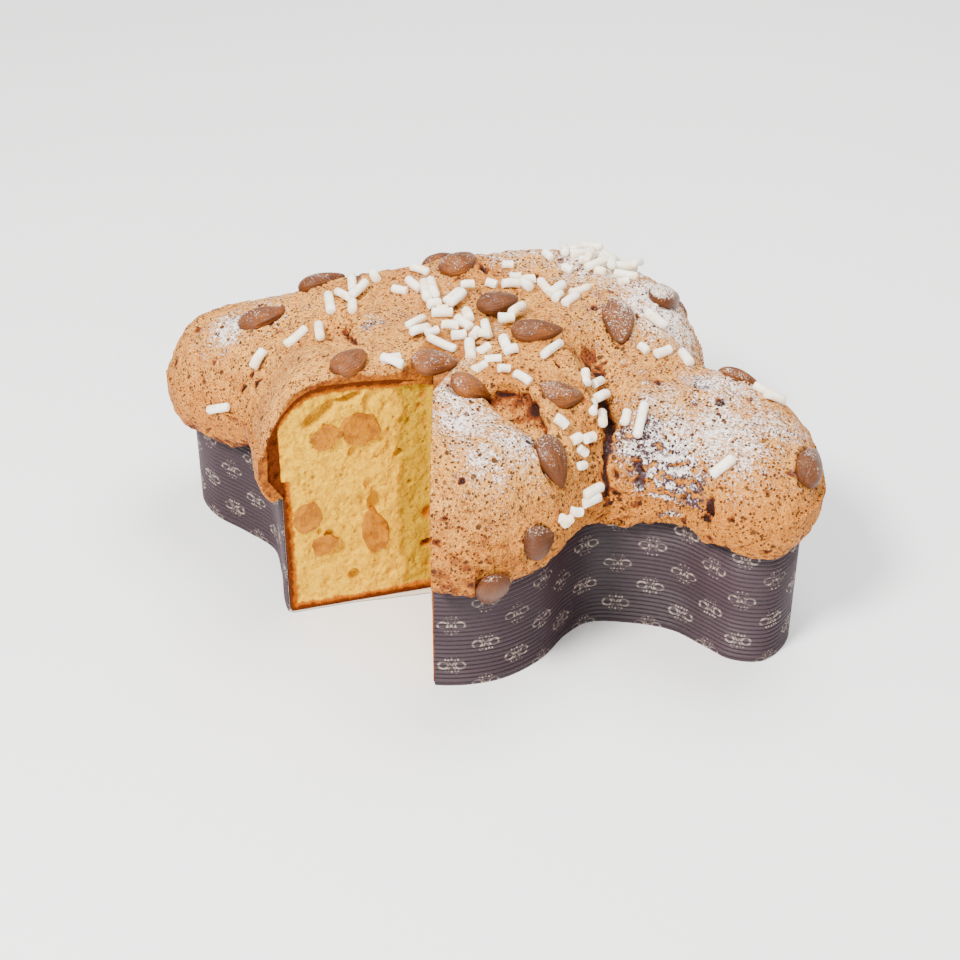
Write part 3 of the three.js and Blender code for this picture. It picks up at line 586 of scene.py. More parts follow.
def lattice(name, rows, closed=True):
    """A grid primitive with its corners moved on to rows of points, in millimetres.

    Seen from outside, a row runs to the right and the rows go up. A closed lattice has its last
    column joined to its first, and its first and last rows filled.
    """
    if closed:
        rows = np.concatenate([rows, rows[:, :1]], axis=1)
    deselect()
    bpy.ops.mesh.primitive_grid_add(
        x_subdivisions=rows.shape[1] - 1, y_subdivisions=rows.shape[0] - 1, size=1
    )
    piece = named(bpy.context.object, name)
    put_points(piece, rows.reshape(-1, 3))
    if closed:
        work(piece, WELD, FILL, (bpy.ops.mesh.quads_convert_to_tris, {"ngon_method": "BEAUTY"}))
    return piece


# ---------------------------------------------------------------- nodes of the materials


def tint(red, green, blue):
    """A colour given as 0 to 255 on a screen, as the shader's own linear numbers."""
    screen = (red, green, blue)
    linear = [((c / 255 + 0.055) / 1.055) ** 2.4 if c > 10 else c / 3295 for c in screen]
    return (*linear, 1)


def put(made, inputs):
    """Sets values, or links other nodes' outputs, on a node's inputs."""
    for name, value in inputs.items():
        if isinstance(value, bpy.types.NodeSocket):
            made.id_data.links.new(value, made.inputs[name])
        else:
            made.inputs[name].default_value = value


def node(tree, kind, inputs=None, **settings):
    """A shader node with its settings, and with values or other nodes' outputs on its inputs."""
    made = tree.nodes.new("ShaderNode" + kind)
    for name, value in settings.items():
        setattr(made, name, value)
    put(made, inputs or {})
    return made


def tree_of(*values):
    """The tree of the first node output among some values."""
    return next(v.id_data for v in values if isinstance(v, bpy.types.NodeSocket))


def calc(operation, *values, clamp=False):
    inputs = dict(enumerate(values))
    made = node(tree_of(*values), "Math", inputs, operation=operation, use_clamp=clamp)
    return made.outputs[0]


def times(first, second):
    return calc("MULTIPLY", first, second)


def spread(value, low, high, start=0.0, end=1.0):
    """A value's range from low to high, spread smoothly over start to end."""
    inputs = {"Value": value, "From Min": low, "From Max": high, "To Min": start, "To Max": end}
    return node(tree_of(value), "MapRange", inputs, interpolation_type="SMOOTHSTEP").outputs[0]


def blend(share, first, second):
    inputs = {0: share, 6: first, 7: second}
    made = node(tree_of(*inputs.values()), "Mix", inputs, data_type="RGBA", clamp_factor=True)
    return made.outputs[2]


def coats(colour, *layers):
    """A screen colour with others laid over it in turn: pairs of a share and a colour."""
    colour = tint(*colour)
    for share, over in layers:
        colour = blend(share, colour, tint(*over))
    return colour


def layer(tree, name):
    return node(tree, "Attribute", attribute_name=name).outputs["Fac"]


def soft_noise(where, per_metre, detail=2.0, rough=0.5):
    inputs = {"Vector": where, "Scale": per_metre, "Detail": detail, "Roughness": rough}
    return node(tree_of(where), "TexNoise", inputs).outputs[0]


def effect(name, takes):
    """A group of nodes that gives a mask: its tree, what it is given, and where the mask goes."""
    tree = bpy.data.node_groups.new(name, "ShaderNodeTree")
    for label, default in takes:
        kind = "NodeSocketVector" if default is None else "NodeSocketFloat"
        socket = tree.interface.new_socket(name=label, in_out="INPUT", socket_type=kind)
        if default is not None:
            socket.default_value = default
    tree.interface.new_socket(name="Mask", in_out="OUTPUT", socket_type="NodeSocketFloat")
    return tree, tree.nodes.new("NodeGroupInput").outputs, tree.nodes.new("NodeGroupOutput")


def use(group, **inputs):
    """The mask of a group placed in a material, with values on its inputs."""
    inputs = {name.replace("_", " "): value for name, value in inputs.items()}
    return node(tree_of(*inputs.values()), "Group", inputs, node_tree=group).outputs[0]


def pin_holes_effect():
    """Small round pores of uneven size, in a share of the cells of a cellular pattern."""
    takes = [("Vector", None), ("Per metre", 500.0), ("Widest", 0.4), ("Share", 0.5)]
    tree, given, out = effect("pin_holes", takes)
    bent = node(tree, "TexNoise", {"Vector": given["Vector"], "Scale": 700.0}).outputs["Color"]
    shift = node(tree, "VectorMath", {0: bent, "Scale": 0.0012}, operation="SCALE").outputs[0]
    where = node(tree, "VectorMath", {0: given["Vector"], 1: shift}, operation="ADD").outputs[0]
    cells = node(tree, "TexVoronoi", {"Vector": where, "Scale": given["Per metre"]}).outputs
    parts = node(tree, "SeparateColor", {0: cells["Color"]}).outputs
    radius = times(given["Widest"], spread(parts[0], 0.0, 1.0, 0.4, 1.0))
    hole = calc("SUBTRACT", radius, cells["Distance"])
    kept = calc("LESS_THAN", parts[1], given["Share"])
    put(out, {"Mask": times(calc("MULTIPLY", hole, 9.0, clamp=True), kept)})
    return tree


def icing_effect():
    """Icing sugar sifted on: fine grains that run together where there is more of it."""
    takes = [("Vector", None), ("Amount", 0.5), ("Grains per metre", 1100.0)]
    tree, given, out = effect("sifted_icing", takes)
    fine = soft_noise(given["Vector"], given["Grains per metre"], 2.0, 0.65)
    broad = soft_noise(given["Vector"], 190.0, 3.0, 0.6)
    level = calc("ADD", fine, times(broad, 0.45))
    need = calc("SUBTRACT", 0.99, times(given["Amount"], 0.47))
    spotted = calc("MULTIPLY", calc("SUBTRACT", level, need), 6.0, clamp=True)
    put(out, {"Mask": times(spotted, spread(given["Amount"], 0.02, 0.25))})
    return tree


def new_paint(name):
    """An empty material: its tree, its principled shader, and object coordinates."""
    paint = bpy.data.materials.new(name)
    paint.use_nodes = True
    tree = paint.node_tree
    shader = tree.nodes["Principled BSDF"]
    where = node(tree, "TexCoord").outputs["Object"]
    return paint, tree, shader, where


def relief(shader, height, distance, strength=1.0):
    inputs = {"Height": height, "Distance": distance, "Strength": strength}
    put(shader, {"Normal": node(tree_of(height), "Bump", inputs).outputs[0]})


def total(*pairs):
    """The sum of some outputs, each times a number."""
    sum_of = times(*pairs[0])
    for value, share in pairs[1:]:
        sum_of = calc("MULTIPLY_ADD", value, share, sum_of)
    return sum_of


pin_holes = pin_holes_effect()
sifted_icing = icing_effect()


def glaze_paint():
    """Baked almond glaze: tan to golden, pin-holed, scorched in its splits and dusted, with painted
    shade on its undersides, in the front wing's crevice and by the tail.
    """
    paint, tree, shader, where = new_paint("baked_glaze")
    broad, mid = soft_noise(where, 38.0, 3.0), soft_noise(where, 190.0, 3.0, 0.62)
    fine, speck = soft_noise(where, 800.0, 2.0, 0.7), soft_noise(where, 1900.0, 2.0, 0.6)
    golden = layer(tree, "golden")
    # Real scorch in splits, holes and pits, plus painted shade on the undersides and in the front
    # wing's crevice
    char_and_shade = total((layer(tree, "scorch_and_shade"), 1.0), (spread(mid, 0.35, 0.7), 0.3), (fine, 0.2))
    dusk_and_shade = total((layer(tree, "dusk_and_shade"), 1.0), (spread(mid, 0.3, 0.7), 0.4))
    small = use(pin_holes, Vector=where, Per_metre=720.0, Widest=0.46, Share=0.8)
    large = use(pin_holes, Vector=where, Per_metre=230.0, Widest=0.3, Share=0.55)
    gate = spread(soft_noise(where, 60.0, 2.0), 0.3, 0.5, 0.6, 1.0)
    pores = times(calc("MAXIMUM", small, large), gate)
    icing = use(sifted_icing, Vector=where, Amount=layer(tree, "icing"), Grains_per_metre=1000.0)
    open_icing = times(icing, calc("SUBTRACT", 1.0, pores))
    shown_icing = times(open_icing, spread(char_and_shade, 0.6, 1.0, 1.0, 0.15))
    colour = coats(
        (206, 136, 50),
        (spread(broad, 0.35, 0.65), (184, 116, 44)),
        (golden, (176, 102, 14)),
        (spread(mid, 0.48, 0.72, 0, 0.8), (132, 68, 18)),
        (spread(mid, 0.5, 0.3, 0, 0.45), (230, 166, 80)),
        (spread(fine, 0.5, 0.62, 0, 0.72), (118, 58, 18)),
        (spread(speck, 0.5, 0.66, 0, 0.6), (248, 202, 126)),
        (times(golden, 0.5), (184, 104, 10)),
        # These dark browns also carry the painted shade on undersides and in the crevice
        (spread(char_and_shade, 0.5, 0.85), (118, 54, 14)),
        (spread(char_and_shade, 0.8, 1.15), (44, 18, 10)),
        # Dusk-coloured patches: fruit under the dust, and painted shade in the valley by the tail
        (spread(dusk_and_shade, 0.45, 0.9), (70, 48, 54)),
        (times(shown_icing, 0.92), (250, 238, 230)),
        (times(pores, 0.9), (58, 28, 14)),
    )
    inside = coats((112, 52, 8), (spread(mid, 0.35, 0.65), (166, 92, 12)))
    put(shader, {
        "Base Color": blend(layer(tree, "sliced"), colour, inside),
        "Roughness": spread(shown_icing, 0.0, 1.0, 0.7, 0.95),
        "Specular IOR Level": 0.15,
    })
    height = total((fine, 0.9), (mid, 1.3), (speck, 0.35), (pores, -1.0), (icing, 0.3))
    relief(shader, height, 0.0014, 0.9)
    return paint


def crumb_paint():
    """Soft yellow crumb with tender holes, browned where it lay against the case, with painted
    shade deep in its holes.
    """
    paint, tree, shader, where = new_paint("yellow_crumb")
    broad, mid = soft_noise(where, 60.0, 2.0), soft_noise(where, 300.0, 3.0, 0.65)
    fine = soft_noise(where, 1100.0, 3.0, 0.7)
    deeper_yellow = total((layer(tree, "deeper_yellow"), 1.0), (spread(broad, 0.45, 0.75), 0.35))
    browned = total((layer(tree, "browned"), 1.15), (spread(mid, 0.3, 0.7), 0.3))
    pit = layer(tree, "pit")
    colour = coats(
        (230, 176, 4),
        (spread(mid, 0.38, 0.66), (210, 152, 0)),
        # A deeper yellow on the last part of the head's cut, next to the corner
        (spread(deeper_yellow, 0.15, 0.95), (186, 142, 0)),
        # Painted shade in the crumb's holes, darker the deeper they go
        (spread(pit, 1.6, 3.6), (182, 104, 0)),
        (spread(pit, 3.4, 5.5), (112, 48, 0)),
        (spread(browned, 0.25, 0.75), (166, 84, 0)),
        (spread(browned, 0.8, 1.2), (86, 34, 2)),
    )
    put(shader, {
        "Base Color": colour, "Roughness": 0.85, "Specular IOR Level": 0.08,
        "Subsurface Weight": 0.15, "Subsurface Radius": (1.0, 0.7, 0.2),
        "Subsurface Scale": 0.0015,
    })
    small = use(pin_holes, Vector=where, Per_metre=700.0, Widest=0.45, Share=0.6)
    relief(shader, total((fine, 0.8), (mid, 1.1), (small, -0.8)), 0.0011, 0.9)
    return paint


def sugar_paint():
    """Opaque white pearl sugar, a little grainy, creamy where the glaze has wetted it."""
    paint, tree, shader, where = new_paint("pearl_sugar")
    wetted = spread(soft_noise(where, 220.0, 3.0, 0.6), 0.42, 0.72)
    put(shader, {
        "Base Color": coats((254, 248, 234), (wetted, (248, 222, 174))), "Roughness": 0.5,
        "Subsurface Weight": 0.15, "Subsurface Scale": 0.001,
    })
    relief(shader, soft_noise(where, 1500.0, 3.0, 0.7), 0.0004, 0.6)
    return paint


def almond_paint():
    """Almond skin: red-brown, streaked from end to end, with sifted sugar on its upper side."""
    paint, tree, shader, where = new_paint("almond_skin")
    uv = node(tree, "UVMap", uv_map="skin").outputs[0]
    long = node(tree, "Mapping", {"Vector": uv, "Scale": (46.0, 2.6, 1.0)}).outputs[0]
    streak = soft_noise(long, 1.0, 3.0)
    icing = use(sifted_icing, Vector=where, Amount=layer(tree, "icing"), Grains_per_metre=1300.0)
    colour = coats(
        (104, 54, 14),
        (spread(soft_noise(where, 150.0, 2.0), 0.3, 0.7), (136, 74, 18)),
        (spread(streak, 0.45, 0.7, 0, 0.75), (58, 24, 10)),
        (layer(tree, "shade_of_skin"), (70, 36, 16)),
        (times(icing, 0.85), (240, 222, 206)),
    )
    put(shader, {
        "Base Color": colour, "Roughness": spread(icing, 0.0, 1.0, 0.42, 0.9),
        "Specular IOR Level": 0.25,
    })
    relief(shader, total((streak, 1.0), (icing, 0.5)), 0.0008, 0.8)
    return paint


def candied_paint():
    """Moist candied orange peel: amber and see-through at its edges."""
    paint, tree, shader, where = new_paint("candied_peel")
    blotch = soft_noise(where, 240.0, 3.0)
    put(shader, {
        "Base Color": coats((172, 108, 0), (spread(blotch, 0.35, 0.7), (136, 76, 0))),
        "Roughness": spread(blotch, 0.3, 0.7, 0.28, 0.5), "Specular IOR Level": 0.12,
        "Subsurface Weight": 0.06, "Subsurface Radius": (1.0, 0.5, 0.1),
        "Subsurface Scale": 0.002,
    })
    relief(shader, soft_noise(where, 500.0, 2.0), 0.001, 0.7)
    return paint


RIB_PITCH, RIB_DEPTH, RIB_ROWS = 2.2, 0.65, 5  # ribs of the paper, and rows of points to each
LINING_ROWS = 6
SLACK, SHY = 0.25, 0.05  # how far the wall gives way here and there, and lies within the solid
MOTIF_WIDE, MOTIF_TALL = 14.0, 21.0  # spacing of the flowers on the paper, alternate rows shifted


def paper_paint():
    """Dark ribbed baking paper printed with small pale flowers of loops and dots, darker with
    grease under the lip and with painted shade in its rib grooves, in the tail's valley and under
    the head.
    """
    paint, tree, shader, where = new_paint("ribbed_paper")
    uv = node(tree, "UVMap", uv_map="wall").outputs[0]
    parts = node(tree, "SeparateXYZ", {0: uv}).outputs
    column = calc("FLOOR", parts[0])
    raised = calc("ADD", parts[1], times(calc("PINGPONG", column, 1.0), 0.5))
    u = calc("SUBTRACT", calc("SUBTRACT", parts[0], column), 0.5)
    v = calc("SUBTRACT", calc("FRACT", raised), 0.5)
    ax, ay = calc("ABSOLUTE", times(u, MOTIF_WIDE)), calc("ABSOLUTE", times(v, MOTIF_TALL))

    def away(cx, cy, rx=1.0, ry=1.0):
        """The distance from (cx, cy) in millimetres, or 1 on an oval of these radii round it."""
        dx = calc("DIVIDE", calc("SUBTRACT", ax, cx), rx)
        dy = calc("DIVIDE", calc("SUBTRACT", ay, cy), ry)
        return calc("SQRT", calc("ADD", times(dx, dx), times(dy, dy)))

    def inked(distance, width):
        return spread(distance, width * 0.6, width, 1.0, 0.0)

    loop_wide, loop_tall = 2.0, 1.7
    off_line = calc("ABSOLUTE", calc("SUBTRACT", away(3.5, 0.0, loop_wide, loop_tall), 1.0))
    flower = inked(times(off_line, loop_tall), 0.42)
    for cx, cy, radius in ((0, 3.2, 0.5), (1.4, 2.9, 0.5), (0, 0, 0.7), (2.6, 3.1, 0.45),
                           (0, 4.5, 0.35), (1.9, 4.2, 0.35)):
        flower = calc("MAXIMUM", flower, inked(away(cx, cy), radius))
    off_cross = calc("ABSOLUTE", calc("SUBTRACT", ay, times(ax, 1.3)))
    near = calc("LESS_THAN", calc("ADD", ax, ay), 3.4)
    flower = calc("MAXIMUM", flower, times(spread(off_cross, 0.2, 0.42, 1.0, 0.0), near))
    worn = spread(soft_noise(where, 500.0, 2.0), 0.36, 0.56, 0.2, 0.9)
    wave = calc("COSINE", times(parts[1], 2 * math.pi * MOTIF_TALL / RIB_PITCH))
    flower = times(times(flower, worn), spread(wave, -0.9, 0.1, 0.35, 1.0))
    colour = coats(
        (60, 42, 49),
        (spread(soft_noise(where, 30.0, 2.0), 0.3, 0.7), (51, 35, 41)),
        # Painted shade in the rib grooves
        (spread(wave, -0.2, -0.95, 0.0, 0.7), (22, 14, 18)),
        # Grease just under the lip, and painted shade in the tail's valley and under the head
        (spread(layer(tree, "grease_and_shade"), 0.0, 1.0, 0.0, 0.6), (26, 17, 20)),
        (flower, (148, 132, 120)),
        (layer(tree, "lining"), (222, 208, 188)),
    )
    put(shader, {
        "Base Color": colour, "Roughness": spread(flower, 0.0, 1.0, 0.5, 0.35),
        "Specular IOR Level": 0.3,
    })
    relief(shader, soft_noise(where, 700.0, 3.0, 0.6), 0.0003, 0.5)
    return paint


def table_paint():
    paint, tree, shader, where = new_paint("pale_table")
    tone = soft_noise(where, 3.0, 2.0)
    colour = blend(tone, (0.86, 0.86, 0.86, 1), (0.88, 0.88, 0.87, 1))
    put(shader, {"Base Color": colour, "Roughness": 0.9})
    return paint


# ---------------------------------------------------------------- crust of glaze


def in_almond(points, i):
    """How far out points lie from almond i's middle, 1 at its edge, and their height over it."""
    local = placed(points, almond_frames[i].inverted())
    x, y = local[..., 0] / (ALMONDS[i][4] / 2), local[..., 1] / (ALMOND_WIDTH / 2)
    return np.sqrt(x**2 + y**2), local[..., 2]


def glaze_rows():
    """The outer rows of the glaze, from the paper under the lip up to the spine, before relief."""
    edge, high = fine_rim, fine_rim_height
    under, low = finer(lip, FINER), finer(lip_height, FINER)
    foot = fine_outline + fine_outward * GAP
    rows = []
    for t in np.linspace(0, 1, UNDER_ROWS, endpoint=False):
        plan = foot + (under - foot) * t
        rows.append(np.c_[plan, CASE_HEIGHT + GAP - (CASE_HEIGHT + GAP - low) * t**0.75])
    for t in np.linspace(0, 1, LIP_ROWS, endpoint=False):
        t = t**1.15
        plan = under + (edge - under) * math.sin(math.pi / 2 * t) ** 0.85
        rows.append(np.c_[plan, low + (high - low) * t - math.sin(math.pi * t)])
    rows.append(np.c_[edge, high])
    spine = spine_under(edge)
    for k in range(1, DOME_ROWS):
        share = math.cos(math.pi / 2 * k / DOME_ROWS)
        rows.append(on_crust(spine + (edge - spine) * share))
    rows = np.stack(rows)
    soft = rows.copy()
    for _ in range(3):  # rounds the lip's lower edge
        soft[1:-1] = (soft[:-2] + 2 * soft[1:-1] + soft[2:]) / 4
    blend_down = np.zeros(len(rows))
    blend_down[UNDER_ROWS - 3 : UNDER_ROWS + 8] = 1
    return rows + (soft - rows) * blend_down[:, None, None]


def glaze_relief(rows, top):
    """How far the glaze stands out from its plain form, and how scorched it is there, with a band
    of painted shade along the front wing's crevice.
    """
    height = 0.8 * grain(rows, 13, 1) + 0.55 * grain(rows, 4.6, 2) + 0.22 * grain(rows, 2.1, 3)
    crease = np.abs(grain(rows, 9, 8, 1))
    height -= 0.9 * hump(crease / 0.07) * step(grain(rows, 26, 9), -0.1, 0.4)
    rough = blots(rows, ROUGH)
    broken = grain(rows, 3.6, 4, 3)
    height += rough * (2.1 * broken - 0.3)
    scorch_and_shade = 0.95 * rough * step(-broken, 0.08, 0.55)
    wander = np.stack([grain(rows, 6, 5), grain(rows, 6, 6)], -1) * 1.6
    loose = rows[..., :2] + wander
    for depth, width, dark, line in SPLITS:
        far = to_line(loose, line) / width
        height -= depth * hump(far) * top
        scorch_and_shade = np.maximum(scorch_and_shade, dark * 1.15 * hump(far / 0.72) * top)
    for rise, width, line in CURLS:
        height += rise * hump(to_line(loose, line) / width) * top
    for x, y, radius, depth in HOLES:
        far = np.hypot(loose[..., 0] - x, loose[..., 1] - y) / radius
        near = step(-far, -1.25, -0.55) * top
        height -= depth * near
        scorch_and_shade = np.maximum(scorch_and_shade, 1.05 * near)
    pits = pocks(rows, 7.5, 0.3, 7)
    height -= 1.1 * pits
    scorch_and_shade = np.maximum(scorch_and_shade, 0.8 * pits)
    for i in range(len(ALMONDS)):
        out, over = in_almond(rows, i)
        level = np.abs(over) < ALMOND_REACH
        height += 0.9 * (level * hump((out - 1.13) / 0.16))
        height -= 0.8 * level * step(-out, -1.0, -0.7)
        scorch_and_shade = np.maximum(scorch_and_shade, 0.55 * level * hump((out - 0.98) / 0.07))
    return height, scorch_and_shade


def wedge(sink):
    """The missing slice as a closed cutter, its two bread faces torn inwards by sink()."""
    head, tail = CUT_HEAD - CUT_CORNER, CUT_TAIL - CUT_CORNER
    reach_head, reach_tail = np.linalg.norm(head), np.linalg.norm(tail)
    spacing, margin, far_away = 0.5, 15, 200
    along_head = np.arange(0, reach_head + margin, spacing)
    along_tail = np.arange(0, reach_tail + margin, spacing)
    on_head = CUT_CORNER + head * (along_head / reach_head)[:, None]
    on_tail = CUT_CORNER + tail * (along_tail / reach_tail)[:, None]
    outside = [on_head[-1] + head * 0.4, CUT_CORNER + (head + tail) * 1.5,
               on_tail[-1] + tail * 0.4]
    plan = np.concatenate([on_head, outside, on_tail[:0:-1]])
    run = np.r_[-along_head, [-far_away, 0, far_away], along_tail[:0:-1]]
    into_head = np.array([head[1], -head[0]]) / reach_head
    into_tail = np.array([-tail[1], tail[0]]) / reach_tail
    inner = np.concatenate([np.tile(into_head, (len(on_head), 1)), np.zeros((3, 2)),
                            np.tile(into_tail, (len(on_tail) - 1, 1))])
    inner[0] = (into_head + into_tail) / 2
    levels = np.arange(-4, 128, spacing)
    rows = np.concatenate([np.tile(plan, (len(levels), 1, 1)),
                           np.tile(levels[:, None, None], (1, len(plan), 1))], 2)
    depth = sink(rows, run) * (np.abs(run) < far_away)
    rows[..., :2] += inner * depth[..., None]
    return lattice("slice", rows)


def take_slice(piece, sink):
    """Cuts the missing slice out of a closed piece, with faces torn inwards by sink()."""
    cutter = wedge(sink)
    only(piece)
    modifier = piece.modifiers.new("cut", "BOOLEAN")
    modifier.operation = "DIFFERENCE"
    modifier.solver = "MANIFOLD"
    modifier.object = cutter
    bpy.ops.object.modifier_apply(modifier=modifier.name)
    bpy.data.objects.remove(cutter)


def under_crust(rows):
    """How far points lie inside the loaf's bread: less than 0 in the glaze or the case."""
    down = (crust_top(rows[0]) - GLAZE)[None] - rows[..., 2]
    flat = rows[0, :, :2]
    nearest = np.linalg.norm(flat[:, None] - outline[None], axis=2).argmin(1)
    inward = -((flat - outline[nearest]) * outward[nearest]).sum(1)
    beside = np.where(rows[..., 2] < CASE_HEIGHT, inward[None] - PAPER, 99)
    return np.minimum(np.minimum(down * 0.8, beside), rows[..., 2] - PAPER)


def in_tunnels(rows, run):
    """Depth of the air tunnels at points of the cut faces."""
    depth = np.zeros(rows.shape[:-1])
    for side, far, height, length, tallness, tilt, deep in TUNNELS:
        at_head = side == "head"
        place = far - math.dist(CUT_HEAD, CUT_CORNER) if at_head else far
        here = (run < 0) if at_head else (run > 0)
        u, v = run - place, rows[..., 2] - height
        c, s = math.cos(math.radians(tilt)), math.sin(math.radians(tilt))
        a, b = u * c + v * s, v * c - u * s
        out = np.sqrt((2 * a / length) ** 2 + (2 * b / tallness) ** 2)
        depth = np.maximum(depth, deep * step(-out, -1.0, -0.45) * here)
    return depth


def deeper_yellow_edge(z):
    """How far from the corner the last, deeper yellow part of the head's cut begins at some
    heights.
    """
    flat = np.stack([np.zeros_like(z), np.zeros_like(z), z], -1)
    return 14 + 3.2 * grain(flat, 17, 18) + 1.2 * grain(flat, 4, 19)


def crumb_sink(rows, run):
    """How deep the crumb is torn at points of the cut."""
    tame = step(under_crust(rows), 0.5, 5)
    tall = rows * (1.0, 1.0, 0.75)
    torn = 0.9 + 0.85 * grain(tall, 9, 11) + 0.6 * grain(tall, 3.4, 12)
    torn += 0.28 * grain(tall, 1.5, 13)
    holes = 2.4 * pocks(tall, 9, 0.32, 14) + 1.5 * pocks(tall, 4.4, 0.45, 15)
    holes += 0.8 * pocks(tall, 2.3, 0.5, 16)
    edge = deeper_yellow_edge(rows[:, 0, 2])[:, None]
    step_back = 1.1 * step(run[None], -edge - 2, 2 - edge) * (run < 0)
    corner = step(np.abs(run), 0, 3)
    return (np.maximum(torn + holes + step_back, 0) * tame + in_tunnels(rows, run)) * corner


def crust_sink(rows, run):
    """How raggedly the knife has broken the glaze."""
    return (0.25 + 0.25 * grain(rows, 3, 17)) * step(np.abs(run), 0, 3)


def under_glaze(plan):
    """How much deeper than at the cut the hidden side and the bread lie at points of the plan."""
    return SUNK * step(to_line(plan, [CUT_HEAD, CUT_CORNER, CUT_TAIL]), 4, 13)


def rows_under(edge, out, high, count, deep):
    """Rows of points under the crust from its rim to its spine, at a depth below its top."""
    rows = [np.c_[edge - out * INSET, np.maximum(high, CASE_HEIGHT + 4)]]
    spine = spine_under(edge)
    for k in range(1, count):
        share = math.cos(math.pi / 2 * k / count)
        plan = spine + (edge - spine) * share - out * INSET * max(0, (share - 0.6) / 0.4)
        below = crust_top(plan) - deep - under_glaze(plan)
        rows.append(np.c_[plan, np.maximum(below, CASE_HEIGHT + 5)])
    return rows


def bake_glaze():
    """The glaze: a closed skin over the bread, with relief, and with the slice cut out of it."""
    rows = glaze_rows()
    normals = row_normals(rows)
    level = np.arange(len(rows))[:, None]
    held = step(level * np.ones(rows.shape[:2]), 1, UNDER_ROWS)
    height, scorch_and_shade = glaze_relief(rows, step(normals[..., 2], -0.2, 0.3))
    room = RELIEF_SHARE * (GLAZE + under_glaze(rows)) * np.abs(normals[..., 2])
    height = np.maximum(height, -np.clip(room, LEAST_RELIEF, DEEPEST_RELIEF))
    outer = rows + normals * (height * held)[..., None]
    foot = fine_outline - fine_outward * (PAPER + GAP)
    inner = [np.c_[foot, np.full(len(foot), CASE_HEIGHT + GAP)]]
    inner += rows_under(fine_rim, fine_outward, fine_rim_height, HIDDEN_ROWS, HIDDEN_SIDE)
    piece = lattice("glaze_crust", np.concatenate([np.stack(inner)[::-1], outer]))
    take_slice(piece, crust_sink)
    colour_glaze(piece, outer, scorch_and_shade)
    smooth(piece, 50)
    return piece


def colour_glaze(piece, outer, scorch_and_shade):
    """Writes what the glaze's material reads: scorch with painted shade, golden, icing,
    dusk-coloured patches with painted shade, and sliced.
    """
    points = points_of(piece)
    dark, off_crust = nearest_values(points, outer.reshape(-1, 3), scorch_and_shade.ravel())
    up = vectors_of(piece, "normal")[:, 2]
    low = edge_value(points, 4)
    golden = np.maximum(step(-(points[:, 2] - low), -48, -4), blots(points, GOLDEN))
    # Painted shade: glaze that faces downwards is darkened, most under the head's lip
    shaded = step(-up, 0.05, 0.55) * (0.35 + 0.4 * blots(points, [(-112, -20, 45, 1)]))
    # Browner low on the front wing's outer side, partly painted shade
    toasted_and_shaded = 0.6 * golden * blots(points, [(22, -92, 32, 1)])
    write_layer(piece, "scorch_and_shade", np.maximum(np.maximum(dark, shaded), toasted_and_shaded))
    write_layer(piece, "golden", golden)
    write_layer(piece, "icing", blots(points, DUSTINGS) * step(up, 0.05, 0.6))
    write_layer(piece, "dusk_and_shade", blots(points, DUSKY_AND_SHADE) * step(up, 0.0, 0.4))
    write_layer(piece, "sliced", near_cut(points, 1.0) * (off_crust > 0.9))


def nearest_values(points, known, values):
    """The value of the nearest known point to each point, and the distance to it."""
    tree = kdtree.KDTree(len(known))
    for i, p in enumerate(known):
        tree.insert(p, i)
    tree.balance()
    found = [tree.find(p) for p in points]
    return values[[f[1] for f in found]], np.array([f[2] for f in found])


def along_cuts(points):
    """For each cut, how far along it from the corner and how far behind it points lie."""
    for end, turn in ((CUT_HEAD, -1), (CUT_TAIL, 1)):
        run = (end - CUT_CORNER) / np.linalg.norm(end - CUT_CORNER)
        across = turn * np.array([-run[1], run[0]])
        rel = points[:, :2] - CUT_CORNER
        yield rel @ run, rel @ across


def near_cut(points, width):
    """1 within a width of the cut faces and 0 elsewhere."""
    best = np.full(len(points), 99.0)
    for ahead, deep in along_cuts(points):
        here = (ahead > -1) & (deep > -0.4)
        best = np.where(here, np.minimum(best, np.abs(deep)), best)
    return (best < width).astype(float)


# ---------------------------------------------------------------- crumb


def bake_crumb():
    """The bread: its sides in the case, its top under the glaze, and the torn faces of the cut."""
    wall = outline - outward * (PAPER + GAP)
    above = eased(outline + outward * (bulge * 0.9 - INSET)[:, None])
    rows = [np.c_[plan, np.full(len(plan), z)] for plan, z in (
        (wall, PAPER + GAP), (wall, CASE_HEIGHT), (above, CASE_HEIGHT + 2))]
    rows += rows_under(rim, outward, rim_height, BREAD_ROWS, INSET)
    piece = lattice("crumb", np.stack(rows))
    take_slice(piece, crumb_sink)
    points = points_of(piece)
    write_layer(piece, "pit", cut_depth(points))
    write_layer(piece, "browned", step(-inside_bread(points), -5.2, -0.2))
    from_corner = np.linalg.norm(points[:, :2] - CUT_CORNER, axis=1)
    write_layer(piece, "deeper_yellow", step(deeper_yellow_edge(points[:, 2]) - from_corner, -4, 3) * 0.95)
    smooth(piece, 60)
    return piece


def inside_bread(points):
    """How far points of the bread lie from its browned outside."""
    down = crust_top(points) - INSET - points[:, 2]
    inside = np.minimum(points[:, 2] - PAPER - GAP, down * 0.8)
    gaps = np.linalg.norm(points[:, None, :2] - outline[None], axis=2)
    close = gaps[:, ::4].min(1) - PAPER - GAP
    inside = np.where(points[:, 2] < CASE_HEIGHT + 8, np.minimum(inside, close), inside)
    nearest = gaps.argmin(1)
    beyond = ((points[:, :2] - outline[nearest]) * outward[nearest]).sum(1)
    return np.where(beyond > -1, np.minimum(inside, 0.8), inside)


def cut_depth(points):
    """How far points of the crumb lie behind the plane of their cut, in millimetres."""
    depths = [np.where(ahead > -1, deep, 99) for ahead, deep in along_cuts(points)]
    return np.clip(np.minimum(*depths), 0, 9) * near_cut(points, 9)


# ---------------------------------------------------------------- toppings


